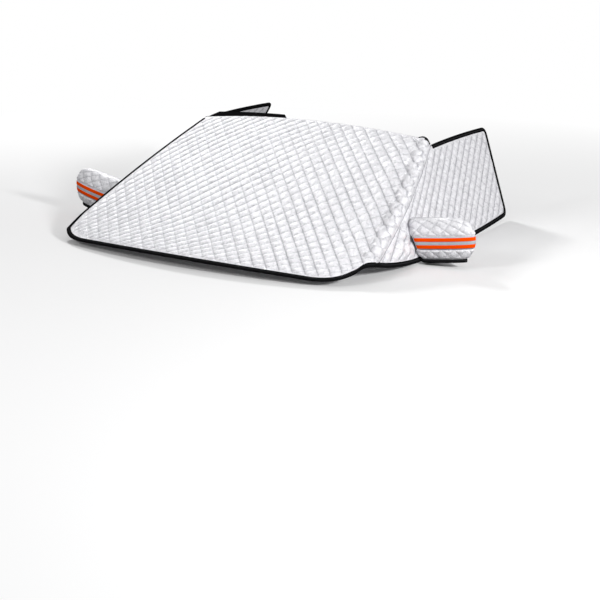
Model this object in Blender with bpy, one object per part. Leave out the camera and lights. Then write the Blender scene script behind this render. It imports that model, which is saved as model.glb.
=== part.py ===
"""Windshield frost cover in its fitted form: a quilted panel, two side wings, two mirror pockets and tapes.

Metres, +Z up. The outer face of the panel looks forward, along -Y, and up, so +X is the left-hand side.
The origin is the middle of the panel's lower edge, on its inner face. Every cloth piece is cut from a flat
pattern and laid on its own surface, so a pattern point is (across, up) on the panel and (back, up) on a wing.
"""

import math

import bmesh
import bpy
import numpy as np
from mathutils import Vector
from mathutils.geometry import delaunay_2d_cdt

LEFT = 1
RIGHT = -1

# Main panel: a sloping surface bowed across its width
PANEL_SLOPE = math.radians(23.06)
PANEL_BOW = 0.1107
PANEL_HEIGHT = 1.140
LOWER_BOW = 0.1365
LOWER_STRAIGHT = 0.600
LOWER_CORNER = (0.700, 0.071)
LOWER_FLANK = 0.145

# Turn lines, where the panel turns down towards each wing: an arc in the panel's pattern
TURN_FOOT = (0.752, 0.250)
TURN_HEAD = (0.607, 1.100)
TURN_RADIUS = 4.70
SEAM_FOOT = 0.262

# The turn over each line: where it starts beyond the line, then arcs as (length, turn in degrees)
FOLD_START = {LEFT: -0.020, RIGHT: -0.004}
FOLD_ARCS = {
    LEFT: ((0.014, 28.0), (0.007, 0.0), (0.033, -90.0)),
    RIGHT: ((0.020, -14.0), (0.012, -30.0)),
}
SEAM_RUN = {LEFT: 0.080, RIGHT: 0.020}

# Side wings: planes that lean inwards, with an upper edge level with the panel's upper corner
WING_FOOT_X = 0.8105
WING_LEAN = math.radians(25.46)
WING_SETTLE = 0.300
WING_LOW = -0.040
WING_LOW_PLACE = 1.000
WING_LOW_BOW = 0.050
WING_FRONT_RUN = 0.330
WING_REAR_TOP = 1.712
WING_REAR_BOTTOM = 1.585
WING_TOP_BOW = 0.006
WING_CORNER = 0.045

# Cloth: quilted tiles between diagonal stitch lines, flat along every edge
STITCHED_CLOTH = 0.0025
TILE_PUFF = 0.0040
PANEL_TILE = (0.0626, 0.0736)
WING_TILE = (0.0730, 0.0626)
HEM_WIDTH = 0.006
PRESSED_EDGE = 0.0003
SEAM_GAP = 0.0004

# Edge binding: a folded tape with the cloth's edge inside it
BINDING_WIDTH = 0.018
BINDING_WALL = 0.0010
BINDING_GAP = 0.0009
MARGIN_SPARE = 0.001
BINDING_START = 0.583
WEDGE_CLEAR = 0.036
HEAD_CLEAR = 0.006
HEAD_SHARE = 0.75

# Upper strip, sewn on beyond the upper edge on the right
STRIP_OUTER = 0.598
STRIP_INNER = 0.120
STRIP_OUTER_WIDTH = 0.050
STRIP_INNER_WIDTH = 0.030
STRIP_SLANT = 0.9
STRIP_THICKNESS = 0.0025
STRIP_GAP = 0.0006

# Mirror pockets: both alike, but each lies on its mirror in its own way
POCKET_TIP_X = 1.061
POCKET_BACK = {LEFT: 0.628, RIGHT: 0.592}
POCKET_LEVEL = {LEFT: 0.050, RIGHT: 0.046}
POCKET_DEPTH = 0.104
POCKET_TOP = 0.098
POCKET_DROP = 0.069
POCKET_UNDERCUT = 0.088
POCKET_RISE = {LEFT: math.tan(math.radians(6.7)), RIGHT: math.tan(math.radians(10.6))}
POCKET_SQUARENESS = 2.0
POCKET_RIDGE = 0.64
POCKET_CLOTH = 0.0030
POCKET_COLUMNS = 22
POCKET_SHOULDER_ROWS = 4
NECK_LENGTH = 0.030
NECK_SHRINK = 0.38
NECK_TRACK = 0.007
NECK_GAP = 0.0007
HEM_HEIGHT = 0.016
HEM_WALL = 0.0012
HEM_GAP = 0.0010

# Reflective band and its two stripes
BAND_WIDTH = 0.054
STRIPE_WIDTH = 0.0148
STRIPE_GAP = 0.0138
TAPE_THICKNESS = 0.0006
TAPE_GAP = 0.0004

# Corners of a tape's section whose faces are split so that both its broad sides bend alike
BINDING_CROSSED = (0, 4)
TAPE_CROSSED = (3,)

# Spacing of the facets
EDGE_STEP = 0.095
FOLD_STEP = 0.014
PANEL_BACK_STEP = 0.090
WING_BACK_STEP = 0.055
LINE_STEP = 0.048
LINE_LEAD = 0.220
FRONT_CLEAR = 0.009
BACK_CLEAR = 0.012
ROW_CLEAR = 0.005
CORNER_POINTS = 7
ROUND_POINTS = 5
FOLD_REACH = 0.200
MERGE = 1e-6

COLOURS = {
    "silver_cloth": ((0.80, 0.80, 0.82, 1.0), 0.38, 0.25),
    "black_tape": ((0.012, 0.012, 0.012, 1.0), 0.75, 0.0),
    "reflective_silver": ((0.42, 0.46, 0.50, 1.0), 0.35, 0.30),
    "orange_tape": ((1.0, 0.075, 0.004, 1.0), 0.60, 0.0),
}


def clear_scene():
    for thing in list(bpy.data.objects):
        bpy.data.objects.remove(thing, do_unlink=True)


def material(name):
    found = bpy.data.materials.get(name)
    if found:
        return found
    made = bpy.data.materials.new(name)
    made.use_nodes = True
    colour, roughness, metallic = COLOURS[name]
    shader = made.node_tree.nodes["Principled BSDF"]
    shader.inputs["Base Color"].default_value = colour
    shader.inputs["Roughness"].default_value = roughness
    shader.inputs["Metallic"].default_value = metallic
    return made


def add_solid(name, points, faces, surface):
    """One closed body from its points and faces, with the faces turned outwards."""
    mesh = bpy.data.meshes.new(name)
    mesh.from_pydata([tuple(point) for point in points], [], faces)
    shape = bmesh.new()
    shape.from_mesh(mesh)
    bmesh.ops.remove_doubles(shape, verts=shape.verts, dist=MERGE)
    bmesh.ops.recalc_face_normals(shape, faces=shape.faces)
    shape.to_mesh(mesh)
    shape.free()
    mesh.materials.append(material(surface))
    made = bpy.data.objects.new(name, mesh)
    bpy.context.scene.collection.objects.link(made)
    return made


# Surfaces


def open_panel(across, up):
    """Point of the panel's inner face: a parabola across, swept up the slope."""
    x = across - 2.0 / 3.0 * PANEL_BOW**2 * across**3
    sag = PANEL_BOW * x * x
    y = up * math.cos(PANEL_SLOPE) + sag * math.sin(PANEL_SLOPE)
    z = up * math.sin(PANEL_SLOPE) - sag * math.cos(PANEL_SLOPE)
    return Vector((x, y, z))


def panel_frame(across):
    """Unit vectors across, up and out of the panel at one place across."""
    lean = 2.0 * PANEL_BOW * across
    sideways = Vector((1.0, lean * math.sin(PANEL_SLOPE), -lean * math.cos(PANEL_SLOPE))).normalized()
    upwards = Vector((0.0, math.cos(PANEL_SLOPE), math.sin(PANEL_SLOPE)))
    return sideways, upwards, sideways.cross(upwards).normalized()


def turn_centre():
    """Centre of the arc through the turn line's foot and head, bowed away from the panel."""
    foot = Vector(TURN_FOOT)
    head = Vector(TURN_HEAD)
    chord = head - foot
    inwards = Vector((-chord.y, chord.x)).normalized()
    reach = math.sqrt(TURN_RADIUS**2 - (chord.length / 2.0) ** 2)
    return (foot + head) / 2.0 + inwards * reach


class Fold:
    """Section of the turn over a turn line: heading, distance across and rise against cloth run."""

    def __init__(self, arcs):
        runs = [0.0]
        headings = [0.0]
        for length, turn in arcs:
            runs.append(runs[-1] + length)
            headings.append(headings[-1] + math.radians(turn))
        self.run = np.linspace(0.0, FOLD_REACH, 801)
        self.heading = np.interp(self.run, runs, headings)
        step = self.run[1]
        self.across = np.concatenate(([0.0], np.cumsum(np.cos(self.heading[:-1]) * step)))
        self.rise = np.concatenate(([0.0], np.cumsum(np.sin(self.heading[:-1]) * step)))

    def at(self, run):
        values = [float(np.interp(run, self.run, row)) for row in (self.heading, self.across, self.rise)]
        return values


CENTRE = turn_centre()
FOLDS = {side: Fold(arcs) for side, arcs in FOLD_ARCS.items()}


def fold_start_radius(side):
    return TURN_RADIUS + FOLD_START[side]


def seam_radius(side):
    return fold_start_radius(side) + SEAM_RUN[side]


def mirrored(vector, side):
    return Vector((vector.x * side, vector.y, vector.z))


def panel_surface(pattern):
    """Inner face of the panel at a pattern point, and its outward normal."""
    side = LEFT if pattern[0] >= 0.0 else RIGHT
    flat = Vector((abs(pattern[0]), pattern[1]))
    offset = flat - CENTRE
    beyond = offset.length - fold_start_radius(side)
    if beyond <= 0.0:
        normal = panel_frame(flat.x)[2]
        return mirrored(open_panel(flat.x, flat.y), side), mirrored(normal, side)
    direction = offset.normalized()
    foot = CENTRE + direction * fold_start_radius(side)
    sideways, upwards, normal = panel_frame(foot.x)
    outwards = sideways * direction.x + upwards * direction.y
    heading, across, rise = FOLDS[side].at(beyond)
    point = open_panel(foot.x, foot.y) + outwards * across + normal * rise
    turned = normal * math.cos(heading) - outwards * math.sin(heading)
    return mirrored(point, side), mirrored(turned, side)


def seam_pattern(side, angle):
    """Pattern point of the panel's seam edge at an angle round the turn line's centre."""
    point = CENTRE + Vector((math.cos(angle), math.sin(angle))) * seam_radius(side)
    return Vector((point.x * side, point.y))


def seam_angle(side, up):
    return math.asin((up - CENTRE.y) / seam_radius(side))


def seam_angles(side):
    """Angles of the seam's stations from its foot to its head."""
    start = seam_angle(side, SEAM_FOOT)
    stop = seam_angle(side, PANEL_HEIGHT)
    count = max(2, round((stop - start) * seam_radius(side) / LINE_STEP))
    return np.linspace(start, stop, count + 1)


def wing_axes(side):
    """Foot point of a wing's plane, its direction up and its outward normal."""
    foot = Vector((WING_FOOT_X * side, 0.0, 0.0))
    upwards = Vector((-math.sin(WING_LEAN) * side, 0.0, math.cos(WING_LEAN)))
    normal = Vector((math.cos(WING_LEAN) * side, 0.0, math.sin(WING_LEAN)))
    return foot, upwards, normal


def seam_wall(side):
    """Gap between the panel's edge and the wing's: bare on the left, with the panel's tape on the right."""
    if side == LEFT:
        return SEAM_GAP
    return BINDING_GAP + BINDING_WALL + SEAM_GAP


class Wing:
    """Surface of one wing: it starts on the panel's seam edge and settles onto its own plane."""

    def __init__(self, side):
        self.side = side
        self.foot, self.upwards, self.normal = wing_axes(side)
        seam = [panel_surface(seam_pattern(side, angle)) for angle in seam_angles(side)]
        points = [point for point, normal in seam]
        self.seam_normals = [normal for point, normal in seam]
        self.seam_points = []
        for index, point in enumerate(points):
            before = points[max(index - 1, 0)]
            after = points[min(index + 1, len(points) - 1)]
            outwards = (after - before).cross(self.seam_normals[index]).normalized() * side
            self.seam_points.append(point + outwards * seam_wall(side))
        offsets = [point - self.foot for point in self.seam_points]
        self.seam_back = np.array([point.y for point in self.seam_points])
        self.seam_up = np.array([offset.dot(self.upwards) for offset in offsets])
        self.seam_off = np.array([offset.dot(self.normal) for offset in offsets])

    def surface(self, pattern):
        """Inner face of the wing at a pattern point, and its outward normal."""
        back, up = pattern
        start = float(np.interp(up, self.seam_up, self.seam_back))
        off = float(np.interp(up, self.seam_up, self.seam_off))
        share = min(max((back - start) / WING_SETTLE, 0.0), 1.0)
        rise = off * (1.0 - share) ** 2 * (1.0 + 2.0 * share)
        point = self.foot + Vector((0.0, back, 0.0)) + self.upwards * up + self.normal * rise
        return point, self.normal

    def grain(self, place):
        """Direction of the seam at its foot, where the binding crosses from the panel, or None elsewhere."""
        foot = Vector((self.seam_back[0], self.seam_up[0]))
        if (place - foot).length > SEAM_GAP:
            return None
        return (Vector((self.seam_back[1], self.seam_up[1])) - foot).normalized()

    def seam_outline(self):
        return [Vector((back, up)) for back, up in zip(self.seam_back, self.seam_up)]

    def top(self, back):
        """Height of the upper edge, level with the seam's head and bowed up a little towards its middle."""
        start = self.seam_back[-1]
        share = (back - start) / (WING_REAR_TOP - start)
        return self.seam_up[-1] + 4.0 * WING_TOP_BOW * share * (1.0 - share)

    def bottom(self, back):
        """Height of the lower edge: a shallow bow, rising at the front to the seam's foot."""
        level = WING_LOW + WING_LOW_BOW * (back - WING_LOW_PLACE) ** 2
        start = self.seam_back[0]
        at_start = WING_LOW + WING_LOW_BOW * (start - WING_LOW_PLACE) ** 2
        share = min((back - start) / WING_FRONT_RUN, 1.0)
        return level + (self.seam_up[0] - at_start) * (1.0 - share) ** 2

    def rear(self, share):
        """Point of the rear edge, from its upper end to its lower end."""
        back = WING_REAR_TOP + (WING_REAR_BOTTOM - WING_REAR_TOP) * share
        low = self.bottom(WING_REAR_BOTTOM)
        return Vector((back, self.top(WING_REAR_TOP) + (low - self.top(WING_REAR_TOP)) * share))


# Flat patterns


def steps(start, stop, step):
    """Places from start to stop, both included, about one step apart."""
    return np.linspace(start, stop, max(1, round(abs(stop - start) / step)) + 1)


def bend(start, corner, stop, count):
    """Points of a smooth bend from start to stop that leans towards corner, without its two ends."""
    shares = [index / count for index in range(1, count)]
    return [start * (1 - k) ** 2 + corner * 2 * k * (1 - k) + stop * k * k for k in shares]


def lower_path(side):
    """Panel's lower edge from its middle to one seam foot, as pattern points and without the middle."""
    path = [Vector((across, LOWER_BOW * across**2)) for across in steps(0.0, LOWER_STRAIGHT, EDGE_STEP)]
    corner = Vector(LOWER_CORNER)
    turn = math.asin((LOWER_FLANK - CENTRE.y) / fold_start_radius(side))
    flank = CENTRE + Vector((math.cos(turn), math.sin(turn))) * fold_start_radius(side)
    seam_foot = seam_pattern(side, seam_angle(side, SEAM_FOOT))
    seam_foot.x = abs(seam_foot.x)
    path += bend(path[-1], corner, flank, CORNER_POINTS) + [flank]
    count = max(3, round((seam_foot - flank).length / FOLD_STEP))
    path += [flank.lerp(seam_foot, index / count) for index in range(1, count + 1)]
    return [Vector((point.x * side, point.y)) for point in path[1:]]


def upper_path(side):
    """Panel's upper edge from one seam head to its middle, as pattern points."""
    head = abs(seam_pattern(side, seam_angle(side, PANEL_HEIGHT)).x)
    fold = head - SEAM_RUN[side] - FOLD_STEP
    stops = [fold, BINDING_START if side == LEFT else STRIP_OUTER, STRIP_INNER, 0.0]
    across = [head, head - (HEM_WIDTH * 1.2 if side == LEFT else BINDING_WIDTH + MARGIN_SPARE)]
    across += list(steps(across[-1], fold, FOLD_STEP))[1:]
    for stop in sorted(set(min(stop, fold) for stop in stops), reverse=True)[1:]:
        across += list(steps(across[-1], stop, EDGE_STEP))[1:]
    return [Vector((place * side, PANEL_HEIGHT)) for place in across]


def panel_outline():
    """Panel's outline anticlockwise, with the width of the flat margin along each edge."""
    middle = [Vector((0.0, 0.0))]
    lower = list(reversed(lower_path(RIGHT))) + middle + lower_path(LEFT)
    left = [seam_pattern(LEFT, angle) for angle in seam_angles(LEFT)][1:]
    upper = upper_path(LEFT)[1:] + list(reversed(upper_path(RIGHT)))[1:]
    right = [seam_pattern(RIGHT, angle) for angle in reversed(seam_angles(RIGHT))][1:-1]
    points = lower + left + upper + right
    bound = BINDING_WIDTH + MARGIN_SPARE
    margins = []
    for index, point in enumerate(points):
        after = points[(index + 1) % len(points)]
        is_lower = index < len(lower) - 1
        is_right = index >= len(lower) + len(left) + len(upper) - 1
        is_corner = len(lower) + len(left) - 1 <= index and after.x >= BINDING_START - MARGIN_SPARE
        margins.append(bound if is_lower or is_right or is_corner else HEM_WIDTH)
    return points, margins


def wing_outline(wing):
    """Wing's outline from the seam foot up the seam and round, with each edge's flat margin."""
    seam = wing.seam_outline()
    head = wing.seam_back[-1]
    across_top = steps(head + HEAD_CLEAR, WING_REAR_TOP - WING_CORNER, EDGE_STEP)
    top = [Vector((back, wing.top(back))) for back in across_top]
    top_corner = Vector((WING_REAR_TOP, wing.top(WING_REAR_TOP)))
    rear_length = (wing.rear(1.0) - wing.rear(0.0)).length
    inset = WING_CORNER / rear_length
    rear = [wing.rear(share) for share in steps(inset, 1.0 - inset, EDGE_STEP / rear_length)]
    low = WING_REAR_BOTTOM - WING_CORNER
    across_bottom = steps(low, wing.seam_back[0] + WING_FRONT_RUN, EDGE_STEP)
    bottom = [Vector((back, wing.bottom(back))) for back in across_bottom]
    front = steps(bottom[-1].x, wing.seam_back[0] + WEDGE_CLEAR, EDGE_STEP / 2.0)
    bottom += [Vector((back, wing.bottom(back))) for back in front[1:]]
    points = seam + top
    points += bend(top[-1], top_corner, rear[0], ROUND_POINTS) + rear
    points += bend(rear[-1], wing.rear(1.0), bottom[0], ROUND_POINTS) + bottom
    bound = BINDING_WIDTH + MARGIN_SPARE
    margins = [HEM_WIDTH if index < len(seam) - 1 else bound for index in range(len(points))]
    return points, margins


def panel_grain(place):
    """Direction of the turn line where the panel turns over it, or None on the open panel."""
    side = LEFT if place.x >= 0.0 else RIGHT
    offset = Vector((abs(place.x), place.y)) - CENTRE
    if offset.length < fold_start_radius(side) - MERGE:
        return None
    return Vector((-offset.y * side, offset.x)).normalized()


def reach_in(here, mitre, normal, grain):
    """Vector that leads one unit in from an edge: along the grain of a fold, or else square to the edge."""
    along = grain(here)
    if along is not None and abs(along.dot(mitre)) > 0.5:
        return along / along.dot(normal)
    return mitre / mitre.dot(normal)


def offset_outline(points, margins, clockwise, grain):
    """Outline moved inwards by each edge's margin. Corners take both edges' margins."""
    moved = []
    turn = -1.0 if clockwise else 1.0
    for index, here in enumerate(points):
        before = points[index - 1]
        after = points[(index + 1) % len(points)]
        width_in = margins[index - 1]
        width_out = margins[index]
        along_in = (here - before).normalized()
        along_out = (after - here).normalized()
        normal_in = Vector((-along_in.y, along_in.x)) * turn
        normal_out = Vector((-along_out.y, along_out.x)) * turn
        cross = normal_in.x * normal_out.y - normal_in.y * normal_out.x
        if abs(cross) < 0.3:
            mitre = (normal_in + normal_out).normalized()
            moved.append(here + reach_in(here, mitre, mitre, grain) * max(width_in, width_out))
            continue
        across = (width_in * normal_out.y - width_out * normal_in.y) / cross
        upward = (width_out * normal_in.x - width_in * normal_out.x) / cross
        moved.append(here + Vector((across, upward)))
    return moved


def inside(place, outline):
    """Whether a pattern point lies inside a closed outline, by counting crossings."""
    crossings = 0
    for index, start in enumerate(outline):
        stop = outline[index - 1]
        if (start.y > place.y) != (stop.y > place.y):
            level = (place.y - start.y) / (stop.y - start.y)
            if place.x < start.x + level * (stop.x - start.x):
                crossings += 1
    return crossings % 2 == 1


def distance_to(place, path, closed):
    """Shortest distance from a pattern point to a path."""
    best = 1.0e9
    first = 0 if closed else 1
    for index in range(first, len(path)):
        start = path[index - 1]
        along = path[index] - start
        share = max(0.0, min(1.0, (place - start).dot(along) / max(along.length_squared, 1e-12)))
        best = min(best, (place - start - along * share).length)
    return best


def tile_height(place, tile):
    """Cloth thickness at a pattern point: thin on the diagonal stitch lines, thick at a tile's middle."""
    u = place.x / tile[0]
    v = place.y / tile[1]
    from_line = [abs(value - round(value)) for value in (u + v, u - v)]
    return STITCHED_CLOTH + TILE_PUFF * 2.0 * min(from_line)


def lattice(tile, margin_line, keep_clear, clearance):
    """Crossings and middles of the tiles that lie inside the margin line, keyed by column and row."""
    columns = [point.x for point in margin_line]
    rows = [point.y for point in margin_line]
    half = (tile[0] / 2.0, tile[1] / 2.0)
    found = {}
    for column in range(math.floor(min(columns) / half[0]), math.ceil(max(columns) / half[0]) + 1):
        for row in range(math.floor(min(rows) / half[1]), math.ceil(max(rows) / half[1]) + 1):
            place = Vector((column * half[0], row * half[1]))
            if not inside(place, margin_line) or distance_to(place, margin_line, True) < clearance:
                continue
            if all(distance_to(place, path, False) >= clearance for path in keep_clear):
                found[(column, row)] = place
    return found


def triangulate(outline, loops, places, links, ties):
    """Triangles over an outline that keep its margin line, its inner paths and its stitch lines.

    The first loop is the margin line. ties lists pairs of an outline point and a margin point to join.
    """
    points = list(outline)
    edges = [(index, len(outline) + other) for index, other in ties]
    for loop, closed in loops:
        first = len(points)
        points += loop
        count = len(loop)
        stretch = range(count if closed else count - 1)
        edges += [(first + index, first + (index + 1) % count) for index in stretch]
    first = len(points)
    points += places
    edges += [(first + start, first + stop) for start, stop in links]
    result = delaunay_2d_cdt(points, edges, [list(range(len(outline)))], 1, MERGE)
    made, _, faces, origins = result[:4]
    found = {}
    for index, origin in enumerate(origins):
        for source in origin:
            found[source] = index
    return [Vector(point) for point in made], [list(face) for face in faces], found


def cloth_piece(name, outline, margins, clockwise, surface, grain, tile, back_step, rows, tracks, seat):
    """Closed quilted piece over a pattern outline: tiled outside, plain inside, flat along its edges.

    rows holds lines of points over a fold. tracks holds paths that are sewn flat. seat may replace
    the surface at an outline point, so that two pieces meet along one seam.
    """
    margin_line = offset_outline(outline, margins, clockwise, grain)
    flat_paths = []
    for track in tracks:
        flat_paths += [side_path(track, NECK_TRACK), side_path(track, -NECK_TRACK)]
    row_points = [place for row in rows for place in row if inside(place, margin_line)]
    row_points = [place for place in row_points if distance_to(place, margin_line, True) > ROW_CLEAR]
    bare = list(rows) + flat_paths + list(tracks)
    tiles = lattice(tile, margin_line, bare, FRONT_CLEAR)
    keys = list(tiles)
    numbers = {key: number for number, key in enumerate(keys)}
    links = []
    for column, row in keys:
        if (column + row) % 2 == 0:
            for other in ((column + 1, row + 1), (column + 1, row - 1)):
                corners = ((column + 1, row), (column, other[1]))
                if other in tiles and all(corner in tiles for corner in corners):
                    links.append((numbers[(column, row)], numbers[other]))
    loops = [(margin_line, True)] + [(path, False) for path in flat_paths]
    places = [tiles[key] for key in keys] + row_points
    count = len(outline)
    ties = []
    for index, place in enumerate(outline):
        bound = margins[index] > HEM_WIDTH and margins[index - 1] > HEM_WIDTH
        if bound or grain(place) is not None:
            ties.append((index, index))
        if bound:
            ties.append((index, (index + (1 if clockwise else -1)) % count))
    made, faces, found = triangulate(outline, loops, places, links, ties)
    flat_count = count + sum(len(loop) for loop, closed in loops)
    flat = {found[index] for index in range(flat_count)}
    edge_number = {found[index]: index for index in range(count)}

    def placed(place, number, height):
        if number is not None and seat.get(number):
            point, normal = seat[number]
        else:
            point, normal = surface(place)
        return point + normal * height

    outer = []
    for index, place in enumerate(made):
        height = STITCHED_CLOTH if index in flat else tile_height(place, tile)
        outer.append(placed(place, edge_number.get(index), height))
    back_tile = (back_step * 2.0, back_step * 2.0)
    back_places = list(lattice(back_tile, margin_line, list(rows), BACK_CLEAR).values()) + row_points
    back_made, back_faces, back_found = triangulate(outline, [(margin_line, True)], back_places, [], ties)
    back_edge = {back_found[index]: index for index in range(count)}
    inner = []
    for index, place in enumerate(back_made):
        number = back_edge.get(index)
        pressed = number is not None and margins[number] > HEM_WIDTH and margins[number - 1] > HEM_WIDTH
        inner.append(placed(place, number, PRESSED_EDGE if pressed else 0.0))
    start = len(outer)
    solid = faces + [[start + index for index in reversed(face)] for face in back_faces]
    for index in range(count):
        after = (index + 1) % count
        here, there = found[index], found[after]
        under_here, under_there = start + back_found[index], start + back_found[after]
        solid += [[here, under_here, under_there], [here, under_there, there]]
    return add_solid(name, outer + inner, solid, "silver_cloth")


def side_path(path, offset):
    """Path moved sideways by an offset, with its ends moved square to it."""
    moved = []
    for index, here in enumerate(path):
        before = path[max(index - 1, 0)]
        after = path[min(index + 1, len(path) - 1)]
        along = (after - before).normalized()
        moved.append(here + Vector((-along.y, along.x)) * offset)
    return moved


def fold_rows(side):
    """Lines of pattern points along a turn line, over the whole turn of the cloth."""
    rows = []
    angles = seam_angles(side)
    count = max(2, round((SEAM_RUN[side] - HEM_WIDTH) / FOLD_STEP))
    for index in range(count):
        radius = fold_start_radius(side) + (SEAM_RUN[side] - HEM_WIDTH) * index / count
        half = (angles[1] - angles[0]) / 2.0 * (index % 2)
        row = []
        step = angles[1] - angles[0]
        lead = round(LINE_LEAD / (step * radius)) * step
        for angle in np.arange(angles[0] - lead + half, angles[-1], step):
            point = CENTRE + Vector((math.cos(angle), math.sin(angle))) * radius
            row.append(Vector((point.x * side, point.y)))
        rows.append(row)
    return rows


# Tapes


def sweep(name, sections, surface, crossed):
    """Closed strip through a row of sections. The faces after the crossed corners are split the other way."""
    count = len(sections[0])
    points = [point for section in sections for point in section]
    faces = [list(range(count)), [len(points) - 1 - index for index in range(count)]]
    for index in range(len(sections) - 1):
        for corner in range(count):
            here = index * count + corner
            beside = index * count + (corner + 1) % count
            if corner in crossed:
                faces += [[here, beside, here + count], [beside, beside + count, here + count]]
            else:
                faces += [[here, beside, beside + count], [here, beside + count, here + count]]
    add_solid(name, points, faces, surface)


def binding_profile():
    """Section of the folded tape as (distance outwards from the cloth's edge, height over its inner face)."""
    over = STITCHED_CLOTH + BINDING_GAP
    under = -BINDING_GAP
    edge = BINDING_GAP
    return (
        (-BINDING_WIDTH, over + BINDING_WALL),
        (edge + BINDING_WALL, over + BINDING_WALL),
        (edge + BINDING_WALL, under - BINDING_WALL),
        (-BINDING_WIDTH, under - BINDING_WALL),
        (-BINDING_WIDTH, under),
        (edge, under),
        (edge, over),
        (-BINDING_WIDTH, over),
    )


def edge_stations(points, clockwise, surface, grain):
    """Sections of the binding at each point of an outline run, from the surface under them."""
    stations = []
    turn = 1.0 if clockwise else -1.0
    for index, here in enumerate(points):
        before = points[max(index - 1, 0)]
        after = points[min(index + 1, len(points) - 1)]
        along_in = (here - before).normalized() if index else (after - here).normalized()
        along_out = (after - here).normalized() if index < len(points) - 1 else along_in
        normal_in = Vector((-along_in.y, along_in.x)) * turn
        normal_out = Vector((-along_out.y, along_out.x)) * turn
        mitre = (normal_in + normal_out).normalized()
        is_corner = mitre.dot(normal_out) < 0.99
        lead = mitre / mitre.dot(normal_out) if is_corner else reach_in(here, mitre, mitre, grain)
        section = []
        for outwards, height in binding_profile():
            point, normal = surface(here + lead * outwards)
            section.append(point + normal * height)
        stations.append(section)
    return stations


def build_panel_and_wings(wings, tracks):
    points, margins = panel_outline()
    rows = fold_rows(LEFT) + fold_rows(RIGHT)
    seat = {}
    layout = ("main_panel", points, margins, False, panel_surface, panel_grain, PANEL_TILE, PANEL_BACK_STEP)
    cloth_piece(*layout, rows, [], seat)
    for side, label in ((LEFT, "left"), (RIGHT, "right")):
        wing = wings[side]
        outline, wing_margins = wing_outline(wing)
        if side == LEFT:
            wing_margins[-1] = BINDING_WIDTH + MARGIN_SPARE
        seat = {index: pair for index, pair in enumerate(zip(wing.seam_points, wing.seam_normals))}
        name = "side_wing_" + label
        layout = (name, outline, wing_margins, True, wing.surface, wing.grain, WING_TILE, WING_BACK_STEP)
        cloth_piece(*layout, [], [tracks[side]], seat)


def build_bindings(wings):
    """Main tape round the left wing, the lower edge and up the right seam, and the shorter tapes."""
    runs = {}
    for side in (LEFT, RIGHT):
        outline, margins = wing_outline(wings[side])
        runs[side] = outline[len(wings[side].seam_points):]
    left = wings[LEFT]
    left_wing = edge_stations(runs[LEFT] + [left.seam_outline()[0]], True, left.surface, left.grain)[:-1]
    lower = list(reversed(lower_path(LEFT))) + [Vector((0.0, 0.0))] + lower_path(RIGHT)
    right_seam = [seam_pattern(RIGHT, angle) for angle in seam_angles(RIGHT)][1:]
    panel = edge_stations(lower + right_seam, True, panel_surface, panel_grain)
    ends = zip(panel[-2], panel[-1])
    panel[-1] = [before.lerp(after, HEAD_SHARE) for before, after in ends]
    sweep("edge_binding", left_wing + panel, "black_tape", BINDING_CROSSED)
    right_wing = edge_stations(runs[RIGHT], True, wings[RIGHT].surface, wings[RIGHT].grain)
    sweep("wing_binding_right", right_wing, "black_tape", BINDING_CROSSED)
    corner = [point for point in upper_path(LEFT)[1:] if point.x >= BINDING_START - MARGIN_SPARE]
    corner_stations = edge_stations(corner, False, panel_surface, panel_grain)
    sweep("corner_binding_left", corner_stations, "black_tape", BINDING_CROSSED)


def build_upper_strip():
    """Flat strip beyond the upper edge, wider at its outer end and cut at a slant at both ends."""
    stations = []
    edge = [point.x for point in reversed(upper_path(RIGHT))]
    for place in edge:
        if not STRIP_INNER - MARGIN_SPARE <= -place <= STRIP_OUTER + MARGIN_SPARE:
            continue
        share = (abs(place) - STRIP_INNER) / (STRIP_OUTER - STRIP_INNER)
        width = STRIP_INNER_WIDTH + (STRIP_OUTER_WIDTH - STRIP_INNER_WIDTH) * share
        pull = STRIP_SLANT * width * (1.0 - 2.0 * share)
        section = []
        for across, up, height in (
            (place, PANEL_HEIGHT + STRIP_GAP, STRIP_THICKNESS),
            (place - pull, PANEL_HEIGHT + width, STRIP_THICKNESS),
            (place - pull, PANEL_HEIGHT + width, 0.0),
            (place, PANEL_HEIGHT + STRIP_GAP, 0.0),
        ):
            point, normal = panel_surface(Vector((across, up)))
            section.append(point + normal * height)
        stations.append(section)
    sweep("top_strip", stations, "black_tape", TAPE_CROSSED)


# Mirror pockets


def pocket_angles():
    """Angles round the pocket's plan from the front of the neck, round the tip, to its back."""
    turn = np.linspace(0.0, math.pi, 2001)
    power = 2.0 / POCKET_SQUARENESS
    reach = POCKET_TIP_X - WING_FOOT_X
    x = reach * np.sin(turn) ** power
    y = -np.sign(np.cos(turn)) * np.abs(np.cos(turn)) ** power * POCKET_DEPTH / 2.0
    length = np.concatenate(([0.0], np.cumsum(np.hypot(np.diff(x), np.diff(y)))))
    places = np.linspace(0.0, length[-1], POCKET_COLUMNS + 1)
    return np.interp(places, length, turn)


def pocket_levels():
    """Heights of the pocket's rows over its middle, from the rim to the ridge."""
    band = BAND_WIDTH / 2.0
    lower = [-POCKET_DROP, -(POCKET_DROP + band) / 2.0, -band]
    start = math.asin(band / POCKET_TOP)
    turns = np.linspace(start, math.pi / 2.0, POCKET_SHOULDER_ROWS + 1)
    return lower + [POCKET_TOP * math.sin(turn) for turn in turns]


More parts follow.
